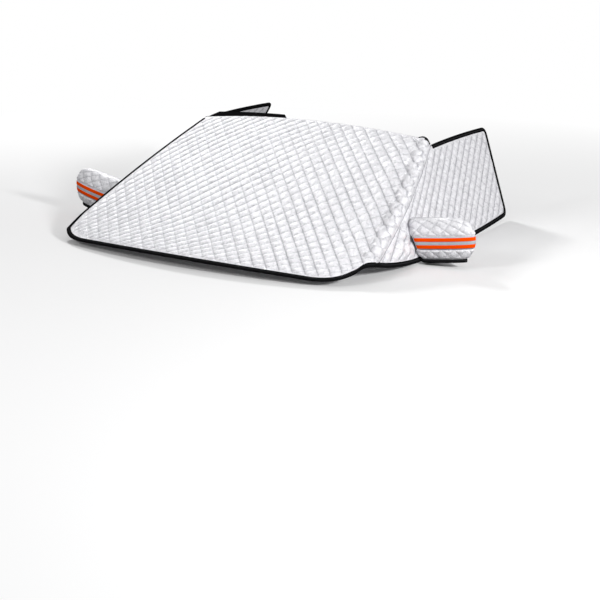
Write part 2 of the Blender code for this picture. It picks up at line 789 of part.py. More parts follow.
def pocket_point(wing, level, angle):
    """Outer face of the pocket at a height over its middle and an angle round its plan."""
    height = POCKET_TOP if level > 0.0 else POCKET_UNDERCUT
    power = 2.0 / POCKET_SQUARENESS
    fullness = max(1.0 - abs(level / height) ** POCKET_SQUARENESS, 0.0) ** (1.0 / POCKET_SQUARENESS)
    out = math.sin(angle) ** power if 0.0 < angle < math.pi else 0.0
    back = -math.copysign(abs(math.cos(angle)) ** power, math.cos(angle)) * POCKET_DEPTH / 2.0 * fullness
    reach = POCKET_TIP_X - WING_FOOT_X
    near = max(0.0, 1.0 - out * reach / NECK_LENGTH) ** 2
    shrink = 1.0 - NECK_SHRINK * near
    y = POCKET_BACK[wing.side] + back * shrink
    z = POCKET_LEVEL[wing.side] + level * shrink
    lift = STITCHED_CLOTH + NECK_GAP
    seat, normal = wing.surface((y, (z - lift * math.sin(WING_LEAN)) / math.cos(WING_LEAN)))
    seat = seat + normal * lift
    tip = abs(seat.x) + (POCKET_TIP_X - abs(seat.x)) * (POCKET_RIDGE + (1.0 - POCKET_RIDGE) * fullness)
    x = abs(seat.x) + (tip - abs(seat.x)) * out
    rise = POCKET_RISE[wing.side] * (x - abs(seat.x)) * (1.0 - near)
    return Vector((x * wing.side, y, z + rise))


def pocket_track(wing):
    """Wing pattern points under the pocket's neck, from its front foot over its top to its back foot."""
    path = []
    for angle, levels in ((0.0, pocket_levels()), (math.pi, list(reversed(pocket_levels()))[1:])):
        for level in levels:
            point = pocket_point(wing, level, angle)
            path.append(Vector((point.y, point.z / math.cos(WING_LEAN))))
    spaced = [path[0]]
    for place in path[1:-1]:
        if (place - spaced[-1]).length > NECK_TRACK:
            spaced.append(place)
    return spaced + [path[-1]]


def pocket_normals(points, columns, side):
    """Outward unit normals of the pocket's grid of points."""
    grid = np.array([tuple(point) for point in points]).reshape(-1, columns, 3)
    along = np.gradient(grid, axis=1)
    upward = np.gradient(grid, axis=0)
    normals = np.cross(along, upward) * side
    middle = columns // 2
    normals[-1, :, :] = (0.0, 0.0, 1.0)
    lengths = np.linalg.norm(normals, axis=2, keepdims=True)
    normals = normals / np.maximum(lengths, 1e-9)
    for row in range(normals.shape[0] - 1):
        if normals[row, middle, 0] * side < 0.0:
            normals[row] *= -1.0
    return normals, grid


def build_pocket(wing, label):
    """Quilted bag over one mirror: open below, sewn to the wing round its neck."""
    angles = pocket_angles()
    levels = pocket_levels()
    columns = len(angles)
    points = [pocket_point(wing, level, angle) for level in levels for angle in angles]
    normals, grid = pocket_normals(points, columns, wing.side)
    band_rows = (2, 3)
    top = len(levels) - 1
    outer = grid.copy()
    inner = grid.copy()
    plane = np.array(tuple(wing.normal))
    for row in range(top + 1):
        for column in range(columns):
            normal = normals[row, column]
            at_neck = column in (0, columns - 1)
            if at_neck:
                normal = normal - plane * normal.dot(plane)
                normal = normal / max(np.linalg.norm(normal), 1e-9)
            tiled = (row + column) % 2 == 1 and row not in band_rows and 0 < row < top and not at_neck
            outer[row, column] += normal * (TILE_PUFF if tiled else 0.0)
            inner[row, column] -= normal * POCKET_CLOTH
    for column in range(columns):
        twin = columns - 1 - column
        if column < twin:
            outer[top, twin] = outer[top, column]
            inner[top, twin] = inner[top, column]
    faces = []
    for row in range(top):
        for column in range(columns - 1):
            corner = row * columns + column
            a, b, c, d = corner, corner + 1, corner + columns + 1, corner + columns
            from_low = (row + column) % 2 == 0
            if row == top - 1:
                from_low = column < columns // 2
            if row == band_rows[0]:
                from_low = True
            if from_low:
                faces += [[a, b, c], [a, c, d]]
            else:
                faces += [[a, b, d], [b, c, d]]
    rim = list(range(columns))
    rim += [row * columns + columns - 1 for row in range(1, top + 1)]
    neck = [row * columns for row in range(top, -1, -1)]
    count = columns * (top + 1)
    solid = faces + [[count + index for index in reversed(face)] for face in faces]
    for path in (rim, neck):
        for here, there in zip(path[:-1], path[1:]):
            solid += [[here, count + here, count + there], [here, count + there, there]]
    shell_points = np.concatenate((outer.reshape(-1, 3), inner.reshape(-1, 3)))
    add_solid("mirror_cover_" + label, shell_points, solid, "silver_cloth")
    build_pocket_hem(wing, label, outer[0], inner[0])
    build_pocket_tapes(label, grid[2], grid[3], normals[2], normals[3])


def build_pocket_hem(wing, label, outside, inside_points):
    """Black hem below the pocket's rim, from the front of its neck round the tip to the back."""
    sections = []
    drop = np.array((0.0, 0.0, HEM_HEIGHT))
    gap = np.array((0.0, 0.0, HEM_GAP))
    for column in range(1, len(outside) - 1):
        out = outside[column] - inside_points[column]
        out = out / np.linalg.norm(out) * HEM_WALL
        corners = (
            outside[column] + out - gap,
            outside[column] + out - gap - drop,
            inside_points[column] - out - gap - drop,
            inside_points[column] - out - gap,
        )
        sections.append([Vector(corner) for corner in corners])
    sweep("mirror_hem_" + label, sections, "black_tape", TAPE_CROSSED)


def tape_strip(name, low, high, normals_low, normals_high, start, stop, height, surface):
    """Tape on the flat part of the pocket, between two shares of its width."""
    sections = []
    for column in range(1, len(low) - 1):
        corners = []
        over = height + TAPE_THICKNESS
        for share, lift in ((start, height), (start, over), (stop, over), (stop, height)):
            point = low[column] * (1.0 - share) + high[column] * share
            normal = normals_low[column] * (1.0 - share) + normals_high[column] * share
            corners.append(Vector(point + normal / np.linalg.norm(normal) * lift))
        sections.append(corners)
    sweep(name, sections, surface, TAPE_CROSSED)


def build_pocket_tapes(label, low, high, normals_low, normals_high):
    rows = (low, high, normals_low, normals_high)
    tape_strip("reflective_band_" + label, *rows, 0.02, 0.98, TAPE_GAP, "reflective_silver")
    half_gap = STRIPE_GAP / 2.0 / BAND_WIDTH
    outer = half_gap + STRIPE_WIDTH / BAND_WIDTH
    over = TAPE_GAP * 2.0 + TAPE_THICKNESS
    tape_strip("orange_stripe_upper_" + label, *rows, 0.5 + half_gap, 0.5 + outer, over, "orange_tape")
    tape_strip("orange_stripe_lower_" + label, *rows, 0.5 - outer, 0.5 - half_gap, over, "orange_tape")


def main():
    clear_scene()
    wings = {side: Wing(side) for side in (LEFT, RIGHT)}
    tracks = {side: pocket_track(wing) for side, wing in wings.items()}
    build_panel_and_wings(wings, tracks)
    build_bindings(wings)
    build_upper_strip()
    for side, label in ((LEFT, "left"), (RIGHT, "right")):
        build_pocket(wings[side], label)


main()
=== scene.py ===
"""Looks of the windshield frost cover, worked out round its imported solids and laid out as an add-on.

Metres, +Z up, in the frame of the solids. A pattern point is (across, up) on the panel and (back, up) on
a wing. Every cloth surface is a function of its pattern point, and the quilting is a height over it.
"""

import math

import bpy
import numpy as np
from mathutils import Matrix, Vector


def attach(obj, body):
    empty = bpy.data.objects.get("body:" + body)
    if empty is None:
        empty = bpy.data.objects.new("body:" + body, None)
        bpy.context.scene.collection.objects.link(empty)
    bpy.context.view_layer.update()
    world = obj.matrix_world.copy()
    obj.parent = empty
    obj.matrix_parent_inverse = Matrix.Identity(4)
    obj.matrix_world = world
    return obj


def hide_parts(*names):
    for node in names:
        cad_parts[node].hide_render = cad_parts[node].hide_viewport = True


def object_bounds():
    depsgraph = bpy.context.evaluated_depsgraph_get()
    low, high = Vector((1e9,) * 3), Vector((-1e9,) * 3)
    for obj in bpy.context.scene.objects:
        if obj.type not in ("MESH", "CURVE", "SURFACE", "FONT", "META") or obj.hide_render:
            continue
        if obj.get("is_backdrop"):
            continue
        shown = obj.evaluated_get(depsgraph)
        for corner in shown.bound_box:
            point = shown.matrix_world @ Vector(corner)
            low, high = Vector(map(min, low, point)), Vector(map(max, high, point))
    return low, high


bl_info = {
    "name": "Windshield frost cover",
    "version": (1, 0, 0),
    "blender": (4, 5, 0),
    "location": "3D View > Sidebar > Frost cover",
    "description": "Builds the quilted cloth, tapes and mirror pockets of a fitted frost cover",
    "category": "Object",
}

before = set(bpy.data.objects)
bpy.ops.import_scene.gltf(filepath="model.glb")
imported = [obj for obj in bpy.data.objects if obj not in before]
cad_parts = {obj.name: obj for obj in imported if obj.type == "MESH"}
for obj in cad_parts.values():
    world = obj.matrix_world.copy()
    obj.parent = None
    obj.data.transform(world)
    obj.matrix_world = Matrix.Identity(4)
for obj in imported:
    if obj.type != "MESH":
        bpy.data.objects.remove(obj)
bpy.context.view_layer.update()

LEFT = 1
RIGHT = -1
SIDES = ((LEFT, "left"), (RIGHT, "right"))

# Main panel
PANEL_SLOPE = math.radians(23.06)
PANEL_BOW = 0.1107
PANEL_HEIGHT = 1.140
LOWER_BOW = 0.1365
LOWER_STRAIGHT = 0.600
LOWER_CORNER = np.array((0.700, 0.071))
LOWER_FLANK = 0.145

# Turn lines between the panel and the wings
TURN_FOOT = np.array((0.752, 0.250))
TURN_HEAD = np.array((0.607, 1.100))
TURN_RADIUS = 4.70
SEAM_FOOT = 0.262
FOLD_START = {LEFT: -0.020, RIGHT: -0.004}
FOLD_ARCS = {
    LEFT: ((0.014, 28.0), (0.007, 0.0), (0.033, -90.0)),
    RIGHT: ((0.020, -14.0), (0.012, -30.0)),
}
FOLD_REACH = 0.200
FOLD_STEPS = 801
SEAM_RUN = {LEFT: 0.080, RIGHT: 0.020}
SEAM_WALL = {LEFT: 0.0004, RIGHT: 0.0023}

# Side wings
WING_FOOT_X = 0.8105
WING_LEAN = math.radians(25.46)
WING_SETTLE = 0.300
WING_LOW = -0.040
WING_LOW_PLACE = 1.000
WING_LOW_BOW = 0.050
WING_FRONT_RUN = 0.330
WING_REAR_TOP = 1.712
WING_REAR_BOTTOM = 1.585
WING_TOP_BOW = 0.006
WING_CORNER = 0.045
WEDGE_CLEAR = 0.036
HEAD_CLEAR = 0.006
FOOT_CLEAR = 0.004
SEAM_BLEND = 0.030

# Spacing of the points along outlines, tapes and seams, with the rough lengths of a seam and of a rear
# edge, and the margin of a grid round its outline
CLOTH_STEP = 0.012
TAPE_STEP = 0.010
SEAM_STEP = 0.010
SEAM_LENGTH = 0.9
REAR_LENGTH = 0.4
SEAM_STATIONS = 91
BEND_POINTS = 12
GRID_MARGIN = 0.02

# Cloth and tapes
STITCHED_CLOTH = 0.0025
BINDING_WALL = 0.0010
BINDING_GAP = 0.0009
BINDING_START = 0.583
TAPE_STITCH = 0.0096
HEAD_SHORT = 0.011
CORNER_CLEAR = 0.0072
LEAD_BLEND = 0.050
STRIP_OUTER = 0.598
STRIP_INNER = 0.120
STRIP_OUTER_WIDTH = 0.050
STRIP_INNER_WIDTH = 0.030
STRIP_SLANT = 0.9
STRIP_THICKNESS = 0.0028
STRIP_ROUND = 0.0006
STRIP_EASE = 0.0012
STRIP_CROWN = 1.15
STRIP_GAP = 0.0006
STRIP_STATIONS = 70

# Mirror pockets
POCKET_TIP_X = 1.061
POCKET_BACK = {LEFT: 0.628, RIGHT: 0.592}
POCKET_LEVEL = {LEFT: 0.050, RIGHT: 0.046}
POCKET_DEPTH = 0.104
POCKET_TOP = 0.098
POCKET_DROP = 0.069
POCKET_UNDERCUT = 0.088
POCKET_RISE = {LEFT: math.tan(math.radians(6.7)), RIGHT: math.tan(math.radians(10.6))}
POCKET_SQUARENESS = 2.0
POCKET_RIDGE = 0.64
POCKET_CLOTH = 0.0030
POCKET_GRID = (225, 96)
TAPE_STATIONS = 181
TAPE_ROWS = 7
TAPE_TRIM = 7
HEM_TRIM = 4
RIM_STEP = 0.002
NECK_LENGTH = 0.030
NECK_SHRINK = 0.38
NECK_GAP = 0.0007
HEM_HEIGHT = 0.016
HEM_WALL = 0.0012
HEM_GAP = 0.0010
BAND_WIDTH = 0.054
BAND_SHORT = 0.00108
STRIPE_WIDTH = 0.0148
STRIPE_GAP = 0.0138
TAPE_THICKNESS = 0.0006
TAPE_GAP = 0.0004

# Folds of the cloth as it lies. A pair is where a fold starts to rise and the run over which it does, and
# a wing's ridge has its distance ahead of the pocket, its width and its share of the height
RIPPLE_LENGTH = 0.043
RIPPLE_HEIGHT = 0.0150
RIPPLE_WANDER = 1.4
RIPPLE_DRIFT = 0.31
RIPPLE_ACROSS = (-0.020, 0.030)
RIPPLE_EDGE = (0.002, 0.030)
RIPPLE_FOOT = (0.220, 0.080)
SWELL_HEIGHT = 0.010
SWELL_PLACE = 0.062
SWELL_WIDTH = 0.034
SWELL_EDGE = (0.020, 0.120)
FOLD_RIDGE = 0.016
FOLD_LEAN = 0.30
FOLD_TOP = 0.190
FOLD_FADE = 0.090
FOLD_EDGE = (0.020, 0.026)
FOLD_RIDGES = ((0.160, 0.018, 1.0), (0.108, 0.013, 0.8))
# A thin black cord down the front of each pocket's neck, which partly stands for the shadow between pocket
# and wing
SHADOW_CORD_RADIUS = 0.0015
SHADOW_CORD_REACH = (-0.0621, 0.07056)
SHADOW_CORD_STATIONS = 60
SHADOW_CORD_SIDES = 8

# Runs over which the quilting rises from flat: off a sewn edge, a tape, the tape on the far side, and on
# a pocket off its band, rim and ridge, and off its neck in columns of the grid
SEWN_FADE = 0.007
TAPE_FADE = 0.014
FAR_FADE = 0.045
FAR_START = 0.50
FAR_RUN = 0.25
BAND_FADE = 0.007
RIM_FADE = 0.008
RIDGE_FADE = 0.010
NECK_FADE = 6.0

# Stitch lines: the slope of a family is the way its lines' normal points
PANEL_STEEP_ANGLE = math.radians(40.0)
PANEL_STEEP_PITCH = 0.048
PANEL_SHALLOW_PITCH = 0.0543
SHALLOW_LEVELS = (-0.10, 0.06, 0.15, 0.25, 0.42, 0.80, 1.00, 1.25)
SHALLOW_ANGLES = (58.0, 58.0, 52.0, 42.0, 31.0, 31.0, 39.0, 41.0)
WING_ANGLES = (math.radians(-53.0), math.radians(48.0))
WING_PITCHES = (0.043, 0.050)
POCKET_TILE = 0.056
POCKET_CREASE = 0.55
POCKET_PUFF = 0.75
TILE_POWER = 0.78
TILE_VARIETY = (0.84, 1.10)
VARIETY_TABLE = (257, 263)
PANEL_SEED = 11
WING_SEEDS = {LEFT: 24, RIGHT: 22}
TILE_STOPS = np.array((0.0, 0.07, 0.20, 0.38, 0.62, 0.80, 0.93))

# Depth of the stitch lines: the panel's families at its right and at its left, and the wing's families
# These depths also set how dark the painted shade in the stitch lines is
STEEP_DEPTHS = (0.42, 1.00)
SHALLOW_DEPTHS = (1.10, 0.65)
DEPTHS_START = -0.20
DEPTHS_RUN = 0.70
WING_DEPTHS = (1.30, 0.45)

# Silver cloth: scales of its patterns, sharpness of its stitch lines, and how much each darkens it
CLOUD_GRAIN = 7.0
CRUMPLE_GRAIN = 62.0
FINE_GRAIN = 210.0
WEAVE_GRAIN = 420.0
LINE_SHARPNESS = 11.0
SOFT_SHARPNESS = 3.0
SEAM_SHARPNESS = 300.0
THREAD_TURNS = 14.0
# The stitch lines, the band beside them and the seams darken the cloth by these shares as painted shade;
# the crumples mottle it with painted shade as well, and the clouds vary its tone at random
BASE_SHADE = 0.06
LINE_PAINTED_SHADE = 0.52
SOFT_PAINTED_SHADE = 0.30
SEAM_PAINTED_SHADE = 1.3
CRUMPLE_TONE_AND_PAINTED_SHADE = 2.3
CLOUD_SHADE = 0.35

# Camera, as distances in metres and angles in degrees
CAMERA_PLACE = (2.977, -3.994, 1.339)
CAMERA_YAW = 30.878
CAMERA_PITCH = 17.009
CAMERA_ROLL = 0.3426
CAMERA_LENS = 73.567
SENSOR_WIDTH = 36.0

# Studio: each lamp's name, place, the point it faces, the width of its disk and its power in watts
LAMPS = (
    ("key", (-4.6, 4.6, 4.2), (0.0, 0.5, 0.2), 1.1, 222.0),
    ("front", (-1.6, -3.8, 2.8), (-0.1, 0.4, 0.2), 1.2, 54.0),
    ("side", (4.8, -1.0, 2.1), (0.7, 0.9, 0.2), 0.8, 208.0),
)
WORLD_LIGHT = 0.32
FLOOR_NEAR = 2.2
FLOOR_FADE = 2.5
FLOOR_SPAN = 40.0
FLOOR_DROP = 0.004


class CoverSizes(bpy.types.PropertyGroup):
    """Sizes that a user would change."""

    puff: bpy.props.FloatProperty(
        name="Puff", description="Height of a quilted tile over its stitch lines", unit="LENGTH",
        default=0.0076,
    )
    hem: bpy.props.FloatProperty(
        name="Hem", description="Width of the flat cloth along an edge with no tape", unit="LENGTH",
        default=0.002,
    )
    tape: bpy.props.FloatProperty(
        name="Edge tape", description="Width of the tape folded over the edge", unit="LENGTH",
        default=0.018,
    )
    wrinkle: bpy.props.FloatProperty(
        name="Wrinkles", description="Depth of the small wrinkles in the cloth", unit="LENGTH",
        default=0.0044,
    )


class CoverColours(bpy.types.PropertyGroup):
    """Colours that a user would change."""

    silver: bpy.props.FloatVectorProperty(
        name="Silver cloth", description="Coated outer cloth", subtype="COLOR", size=3,
        default=(0.86, 0.855, 0.885),
    )
    # Dark colour of the cloth's painted shade in and beside the stitch lines, at seams and on crumples, and
    # of its random tone
    painted_shade_and_tone: bpy.props.FloatVectorProperty(
        name="Stitch lines", description="Painted shade and tone of the cloth", subtype="COLOR", size=3,
        default=(0.40, 0.40, 0.43),
    )
    black: bpy.props.FloatVectorProperty(
        name="Black tape", description="Edge tape, strip and hems", subtype="COLOR", size=3,
        default=(0.005, 0.005, 0.0055),
    )
    reflective: bpy.props.FloatVectorProperty(
        name="Reflective band", description="Band round the mirror pockets", subtype="COLOR", size=3,
        default=(0.40, 0.45, 0.50),
    )
    orange: bpy.props.FloatVectorProperty(
        name="Orange stripes", description="Stripes on the reflective band", subtype="COLOR", size=3,
        default=(1.0, 0.080, 0.001),
    )


# Surfaces of the fitted cloth


def unit(vectors):
    """Each vector over its own length."""
    return vectors / np.maximum(np.linalg.norm(vectors, axis=-1, keepdims=True), 1e-12)


def smooth(values):
    """3x^2 - 2x^3 of the values held between 0 and 1."""
    held = np.clip(values, 0.0, 1.0)
    return held * held * (3.0 - 2.0 * held)


def ramp(values, start, run):
    """Smooth rise from 0 at the start to 1 a run further on."""
    return smooth((values - start) / run)


def open_panel(across, up):
    """Inner face: x = s - 2/3 k^2 s^3, a sag of k x^2 square to a plane that slopes up and back."""
    x = across - 2.0 / 3.0 * PANEL_BOW**2 * across**3
    sag = PANEL_BOW * x * x
    y = up * math.cos(PANEL_SLOPE) + sag * math.sin(PANEL_SLOPE)
    z = up * math.sin(PANEL_SLOPE) - sag * math.cos(PANEL_SLOPE)
    return np.stack((x, y, z), axis=-1)


def panel_axes(across):
    """Unit vectors across, up and out of the open panel at places across."""
    lean = 2.0 * PANEL_BOW * across
    ones = np.ones_like(across)
    sideways = unit(np.stack((ones, lean * math.sin(PANEL_SLOPE), -lean * math.cos(PANEL_SLOPE)), axis=-1))
    upwards = np.stack((ones * 0.0, ones * math.cos(PANEL_SLOPE), ones * math.sin(PANEL_SLOPE)), axis=-1)
    return sideways, upwards, unit(np.cross(sideways, upwards))


def turn_centre():
    """Centre of the turn line's arc through its foot and head, on the panel's side of them."""
    chord = TURN_HEAD - TURN_FOOT
    length = np.hypot(*chord)
    inwards = np.array((-chord[1], chord[0])) / length
    return (TURN_FOOT + TURN_HEAD) / 2.0 + inwards * math.sqrt(TURN_RADIUS**2 - (length / 2.0) ** 2)


def fold_table(arcs):
    """Run, heading, distance across and rise of a fold: running sums of its arcs' cosine and sine."""
    runs = np.concatenate(([0.0], np.cumsum([length for length, turn in arcs])))
    headings = np.concatenate(([0.0], np.cumsum([math.radians(turn) for length, turn in arcs])))
    run = np.linspace(0.0, FOLD_REACH, FOLD_STEPS)
    heading = np.interp(run, runs, headings)
    across = np.concatenate(([0.0], np.cumsum(np.cos(heading[:-1]) * run[1])))
    rise = np.concatenate(([0.0], np.cumsum(np.sin(heading[:-1]) * run[1])))
    return run, heading, across, rise


CENTRE = turn_centre()
FOLDS = {side: fold_table(arcs) for side, arcs in FOLD_ARCS.items()}


def start_radius(side):
    """Radius at which a side's fold starts."""
    return TURN_RADIUS + FOLD_START[side]


def panel_surface(pattern):
    """Inner face and outward normal: the open panel up to a turn line, and past it the fold's section."""
    side = np.where(pattern[..., 0] >= 0.0, LEFT, RIGHT)
    across = np.abs(pattern[..., 0])
    up = pattern[..., 1]
    offset = np.stack((across - CENTRE[0], up - CENTRE[1]), axis=-1)
    radius = np.linalg.norm(offset, axis=-1)
    start = np.where(side == LEFT, start_radius(LEFT), start_radius(RIGHT))
    beyond = np.maximum(radius - start, 0.0)
    turned = radius > start
    direction = unit(offset)
    foot_across = np.where(turned, CENTRE[0] + direction[..., 0] * start, across)
    foot_up = np.where(turned, CENTRE[1] + direction[..., 1] * start, up)
    sideways, upwards, normal = panel_axes(foot_across)
    outwards = sideways * direction[..., :1] + upwards * direction[..., 1:]
    rows = {each: [np.interp(beyond, FOLDS[each][0], row) for row in FOLDS[each][1:]] for each in FOLDS}
    section = np.where(side == LEFT, rows[LEFT], rows[RIGHT])
    heading, run_across, rise = section[..., None]
    point = open_panel(foot_across, foot_up) + outwards * run_across + normal * rise
    facing = normal * np.cos(heading) - outwards * np.sin(heading)
    flip = np.stack((side, np.ones_like(side), np.ones_like(side)), axis=-1)
    return point * flip, facing * flip


def seam_pattern(side, angles):
    """Panel pattern points on the seam's arc at angles round the turn line's centre."""
    radius = start_radius(side) + SEAM_RUN[side]
    across = (CENTRE[0] + np.cos(angles) * radius) * side
    return np.stack((across, CENTRE[1] + np.sin(angles) * radius), axis=-1)


def seam_angle(side, up):
    """Angle at which the seam's arc is at a height up: the arcsine of its share of the radius."""
    return math.asin((up - CENTRE[1]) / (start_radius(side) + SEAM_RUN[side]))


class Wing:
    """One wing: it starts on the panel's seam and settles onto its own leaning plane."""

    def __init__(self, side):
        self.side = side
        self.foot = np.array((WING_FOOT_X * side, 0.0, 0.0))
        self.upwards = np.array((-math.sin(WING_LEAN) * side, 0.0, math.cos(WING_LEAN)))
        self.normal = np.array((math.cos(WING_LEAN) * side, 0.0, math.sin(WING_LEAN)))
        angles = np.linspace(seam_angle(side, SEAM_FOOT), seam_angle(side, PANEL_HEIGHT), SEAM_STATIONS)
        points, normals = panel_surface(seam_pattern(side, angles))
        along = np.gradient(points, axis=0)
        points = points + unit(np.cross(along, normals)) * side * SEAM_WALL[side]
        self.seam_back = points[:, 1]
        self.seam_up = (points - self.foot) @ self.upwards
        self.seam_off = (points - self.foot) @ self.normal
        self.seam_normals = normals

    def surface(self, pattern):
        """Plane plus a rise of off (1-k)^2 (1+2k), for a share k of the settling length behind the seam."""
        back = pattern[..., 0]
        up = pattern[..., 1]
        start = np.interp(up, self.seam_up, self.seam_back)
        off = np.interp(up, self.seam_up, self.seam_off)
        share = np.clip((back - start) / WING_SETTLE, 0.0, 1.0)
        rise = off * (1.0 - share) ** 2 * (1.0 + 2.0 * share)
        point = self.foot + np.stack((back * 0.0, back, back * 0.0), axis=-1)
        point = point + self.upwards * up[..., None] + self.normal * rise[..., None]
        near = smooth(1.0 - (back - start) / SEAM_BLEND)[..., None]
        seam = [np.interp(up, self.seam_up, self.seam_normals[:, axis]) for axis in range(3)]
        return point, unit(self.normal * (1.0 - near) + np.stack(seam, axis=-1) * near)

    def top(self, back):
        """Upper edge: level with the seam's head, plus a bow of 4 b k (1-k)."""
        start = self.seam_back[-1]
        share = (back - start) / (WING_REAR_TOP - start)
        return self.seam_up[-1] + 4.0 * WING_TOP_BOW * share * (1.0 - share)

    def bottom(self, back):
        """Lower edge: a wide parabola, plus a lift of (1-k)^2 that meets the seam's foot in front."""
        level = WING_LOW + WING_LOW_BOW * (back - WING_LOW_PLACE) ** 2
        start = self.seam_back[0]
        at_start = WING_LOW + WING_LOW_BOW * (start - WING_LOW_PLACE) ** 2
        share = np.minimum((back - start) / WING_FRONT_RUN, 1.0)
        return level + (self.seam_up[0] - at_start) * (1.0 - share) ** 2

    def rear(self, share):
        """Straight rear edge at a share of the way down."""
        high = self.top(WING_REAR_TOP)
        low = self.bottom(WING_REAR_BOTTOM)
        back = WING_REAR_TOP + (WING_REAR_BOTTOM - WING_REAR_TOP) * share
        return np.stack((back, high + (low - high) * share), axis=-1)


# Outlines


def steps(start, stop, step):
    """Even places from start to stop, about a step apart."""
    return np.linspace(start, stop, max(1, round(abs(stop - start) / step)) + 1)


def bend(start, corner, stop, count):
    """Quadratic bend from start to stop that leans towards corner, without its two ends."""
    share = np.linspace(0.0, 1.0, count + 1)[1:-1, None]
    return start * (1.0 - share) ** 2 + corner * 2.0 * share * (1.0 - share) + stop * share**2


def lower_path(side, step):
    """Panel's lower edge from its middle to one seam foot."""
    across = steps(0.0, LOWER_STRAIGHT, step)
    straight = np.stack((across, LOWER_BOW * across**2), axis=-1)
    turn = math.asin((LOWER_FLANK - CENTRE[1]) / start_radius(side))
    flank = CENTRE + np.array((math.cos(turn), math.sin(turn))) * start_radius(side)
    foot = seam_pattern(side, seam_angle(side, SEAM_FOOT)) * np.array((side, 1.0))
    count = round(np.hypot(*(foot - flank)) / step)
    run = flank + (foot - flank) * np.linspace(0.0, 1.0, count + 1)[:, None]
    path = np.concatenate((straight, bend(straight[-1], LOWER_CORNER, flank, 2 * BEND_POINTS), run))
    return path * np.array((side, 1.0))


def panel_outline(step):
    """Panel's outline anticlockwise, and whether each edge has a tape over it."""
    lower = np.concatenate((lower_path(RIGHT, step)[::-1], lower_path(LEFT, step)[1:]))
    stations = round(SEAM_LENGTH / step)
    seams = {}
    for side in (LEFT, RIGHT):
        angles = np.linspace(seam_angle(side, SEAM_FOOT), seam_angle(side, PANEL_HEIGHT), stations)
        seams[side] = seam_pattern(side, angles)
    heads = seams[LEFT][-1][0], seams[RIGHT][-1][0]
    bare = steps(heads[0], BINDING_START, step)
    across = np.concatenate((bare, steps(BINDING_START, heads[1], step)[1:]))
    top = np.stack((across, np.full_like(across, PANEL_HEIGHT)), axis=-1)
    points = np.concatenate((lower, seams[LEFT][1:], top[1:], seams[RIGHT][::-1][1:-1]))
    taped = np.zeros(len(points), dtype=bool)
    taped[: len(lower) - 1] = True
    head = len(lower) + len(seams[LEFT]) - 2
    corner = np.arange(len(points)) >= head
    taped |= corner & (np.roll(points[:, 0], -1) >= BINDING_START - 1e-6)
    taped[head + len(top) - 1:] = True
    return points, taped


def wing_edges(wing, step):
    """Wing's free edges from the seam's head: the top, the rear and the bottom, with rounded corners."""
    back = steps(wing.seam_back[-1] + HEAD_CLEAR, WING_REAR_TOP - WING_CORNER, step)
    top = np.stack((back, wing.top(back)), axis=-1)
    inset = WING_CORNER / np.hypot(*(wing.rear(1.0) - wing.rear(0.0)))
    rear = wing.rear(np.linspace(inset, 1.0 - inset, round(REAR_LENGTH / step)))
    back = steps(WING_REAR_BOTTOM - WING_CORNER, wing.seam_back[0] + FOOT_CLEAR, step)
    bottom = np.stack((back, wing.bottom(back)), axis=-1)
    first = bend(top[-1], wing.rear(0.0), rear[0], BEND_POINTS)
    second = bend(rear[-1], wing.rear(1.0), bottom[0], BEND_POINTS)
    return np.concatenate((top, first, rear, second, bottom))


def wing_outline(wing, step):
    """Wing's whole outline clockwise, and whether each edge has a tape over it."""
    seam = np.stack((wing.seam_back, wing.seam_up), axis=-1)[:: max(1, round(step / SEAM_STEP))]
    seam = np.concatenate((seam, [[wing.seam_back[-1], wing.seam_up[-1]]]))
    points = np.concatenate((seam, wing_edges(wing, step)))
    return points, np.arange(len(points)) >= len(seam) - 1


def to_outline(places, outline, counted=None):
    """Distance to the outline's counted edges, the nearest point on them, and whether each place is inside.

    The nearest point is the foot of the square from the place to an edge, held between the edge's ends.
    A place is inside when a level ray from it crosses the outline an odd number of times.
    """
    start = outline
    stop = np.roll(outline, -1, axis=0)
    along = stop - start
    lengths = np.maximum((along**2).sum(axis=1), 1e-15)
    results = []
    for block in np.array_split(places, max(1, len(places) // 4000)):
        offset = block[:, None, :] - start[None]
        share = np.clip((offset * along[None]).sum(axis=2) / lengths, 0.0, 1.0)
        gap = offset - along[None] * share[..., None]
        distance = np.sqrt((gap**2).sum(axis=2))
        if counted is not None:
            distance[:, ~counted] = np.inf
        edge = distance.argmin(axis=1)
        rows = np.arange(len(block))
        nearest = block - gap[rows, edge]
        crosses = (start[None, :, 1] > block[:, None, 1]) != (stop[None, :, 1] > block[:, None, 1])
        rise = np.where(np.abs(along[:, 1]) < 1e-15, 1e-15, along[:, 1])
        level = (block[:, None, 1] - start[None, :, 1]) / rise[None]
        hits = crosses & (block[:, None, 0] < start[None, :, 0] + level * along[None, :, 0])
        results.append((distance[rows, edge], nearest, hits.sum(axis=1) % 2 == 1))
    return [np.concatenate(rows) for rows in zip(*results)]


# Meshes


def new_piece(name, points, faces, finish, maps=None):
    """Mesh object of points and faces, shaded smooth, with the named corner maps."""
    mesh = bpy.data.meshes.new(name)
    mesh.from_pydata(points.tolist(), [], [tuple(face) for face in faces])
    corners = np.empty(len(mesh.loops), dtype=np.int32)
    mesh.loops.foreach_get("vertex_index", corners)
    for key, values in (maps or {}).items():
        layer = mesh.uv_layers.new(name=key)
        layer.uv.foreach_set("vector", values[corners].astype(np.float32).ravel())
    mesh.polygons.foreach_set("use_smooth", np.ones(len(mesh.polygons), dtype=bool))
    mesh.materials.append(finish)
    mesh.update()
    piece = bpy.data.objects.new(name, mesh)
    bpy.context.scene.collection.objects.link(piece)
    return piece


def settle(piece, slot, *nodes):
    """The piece rides on the one body and stands for solids; the slot is not used."""
    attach(piece, "root")
    if nodes:
        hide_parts(*nodes)


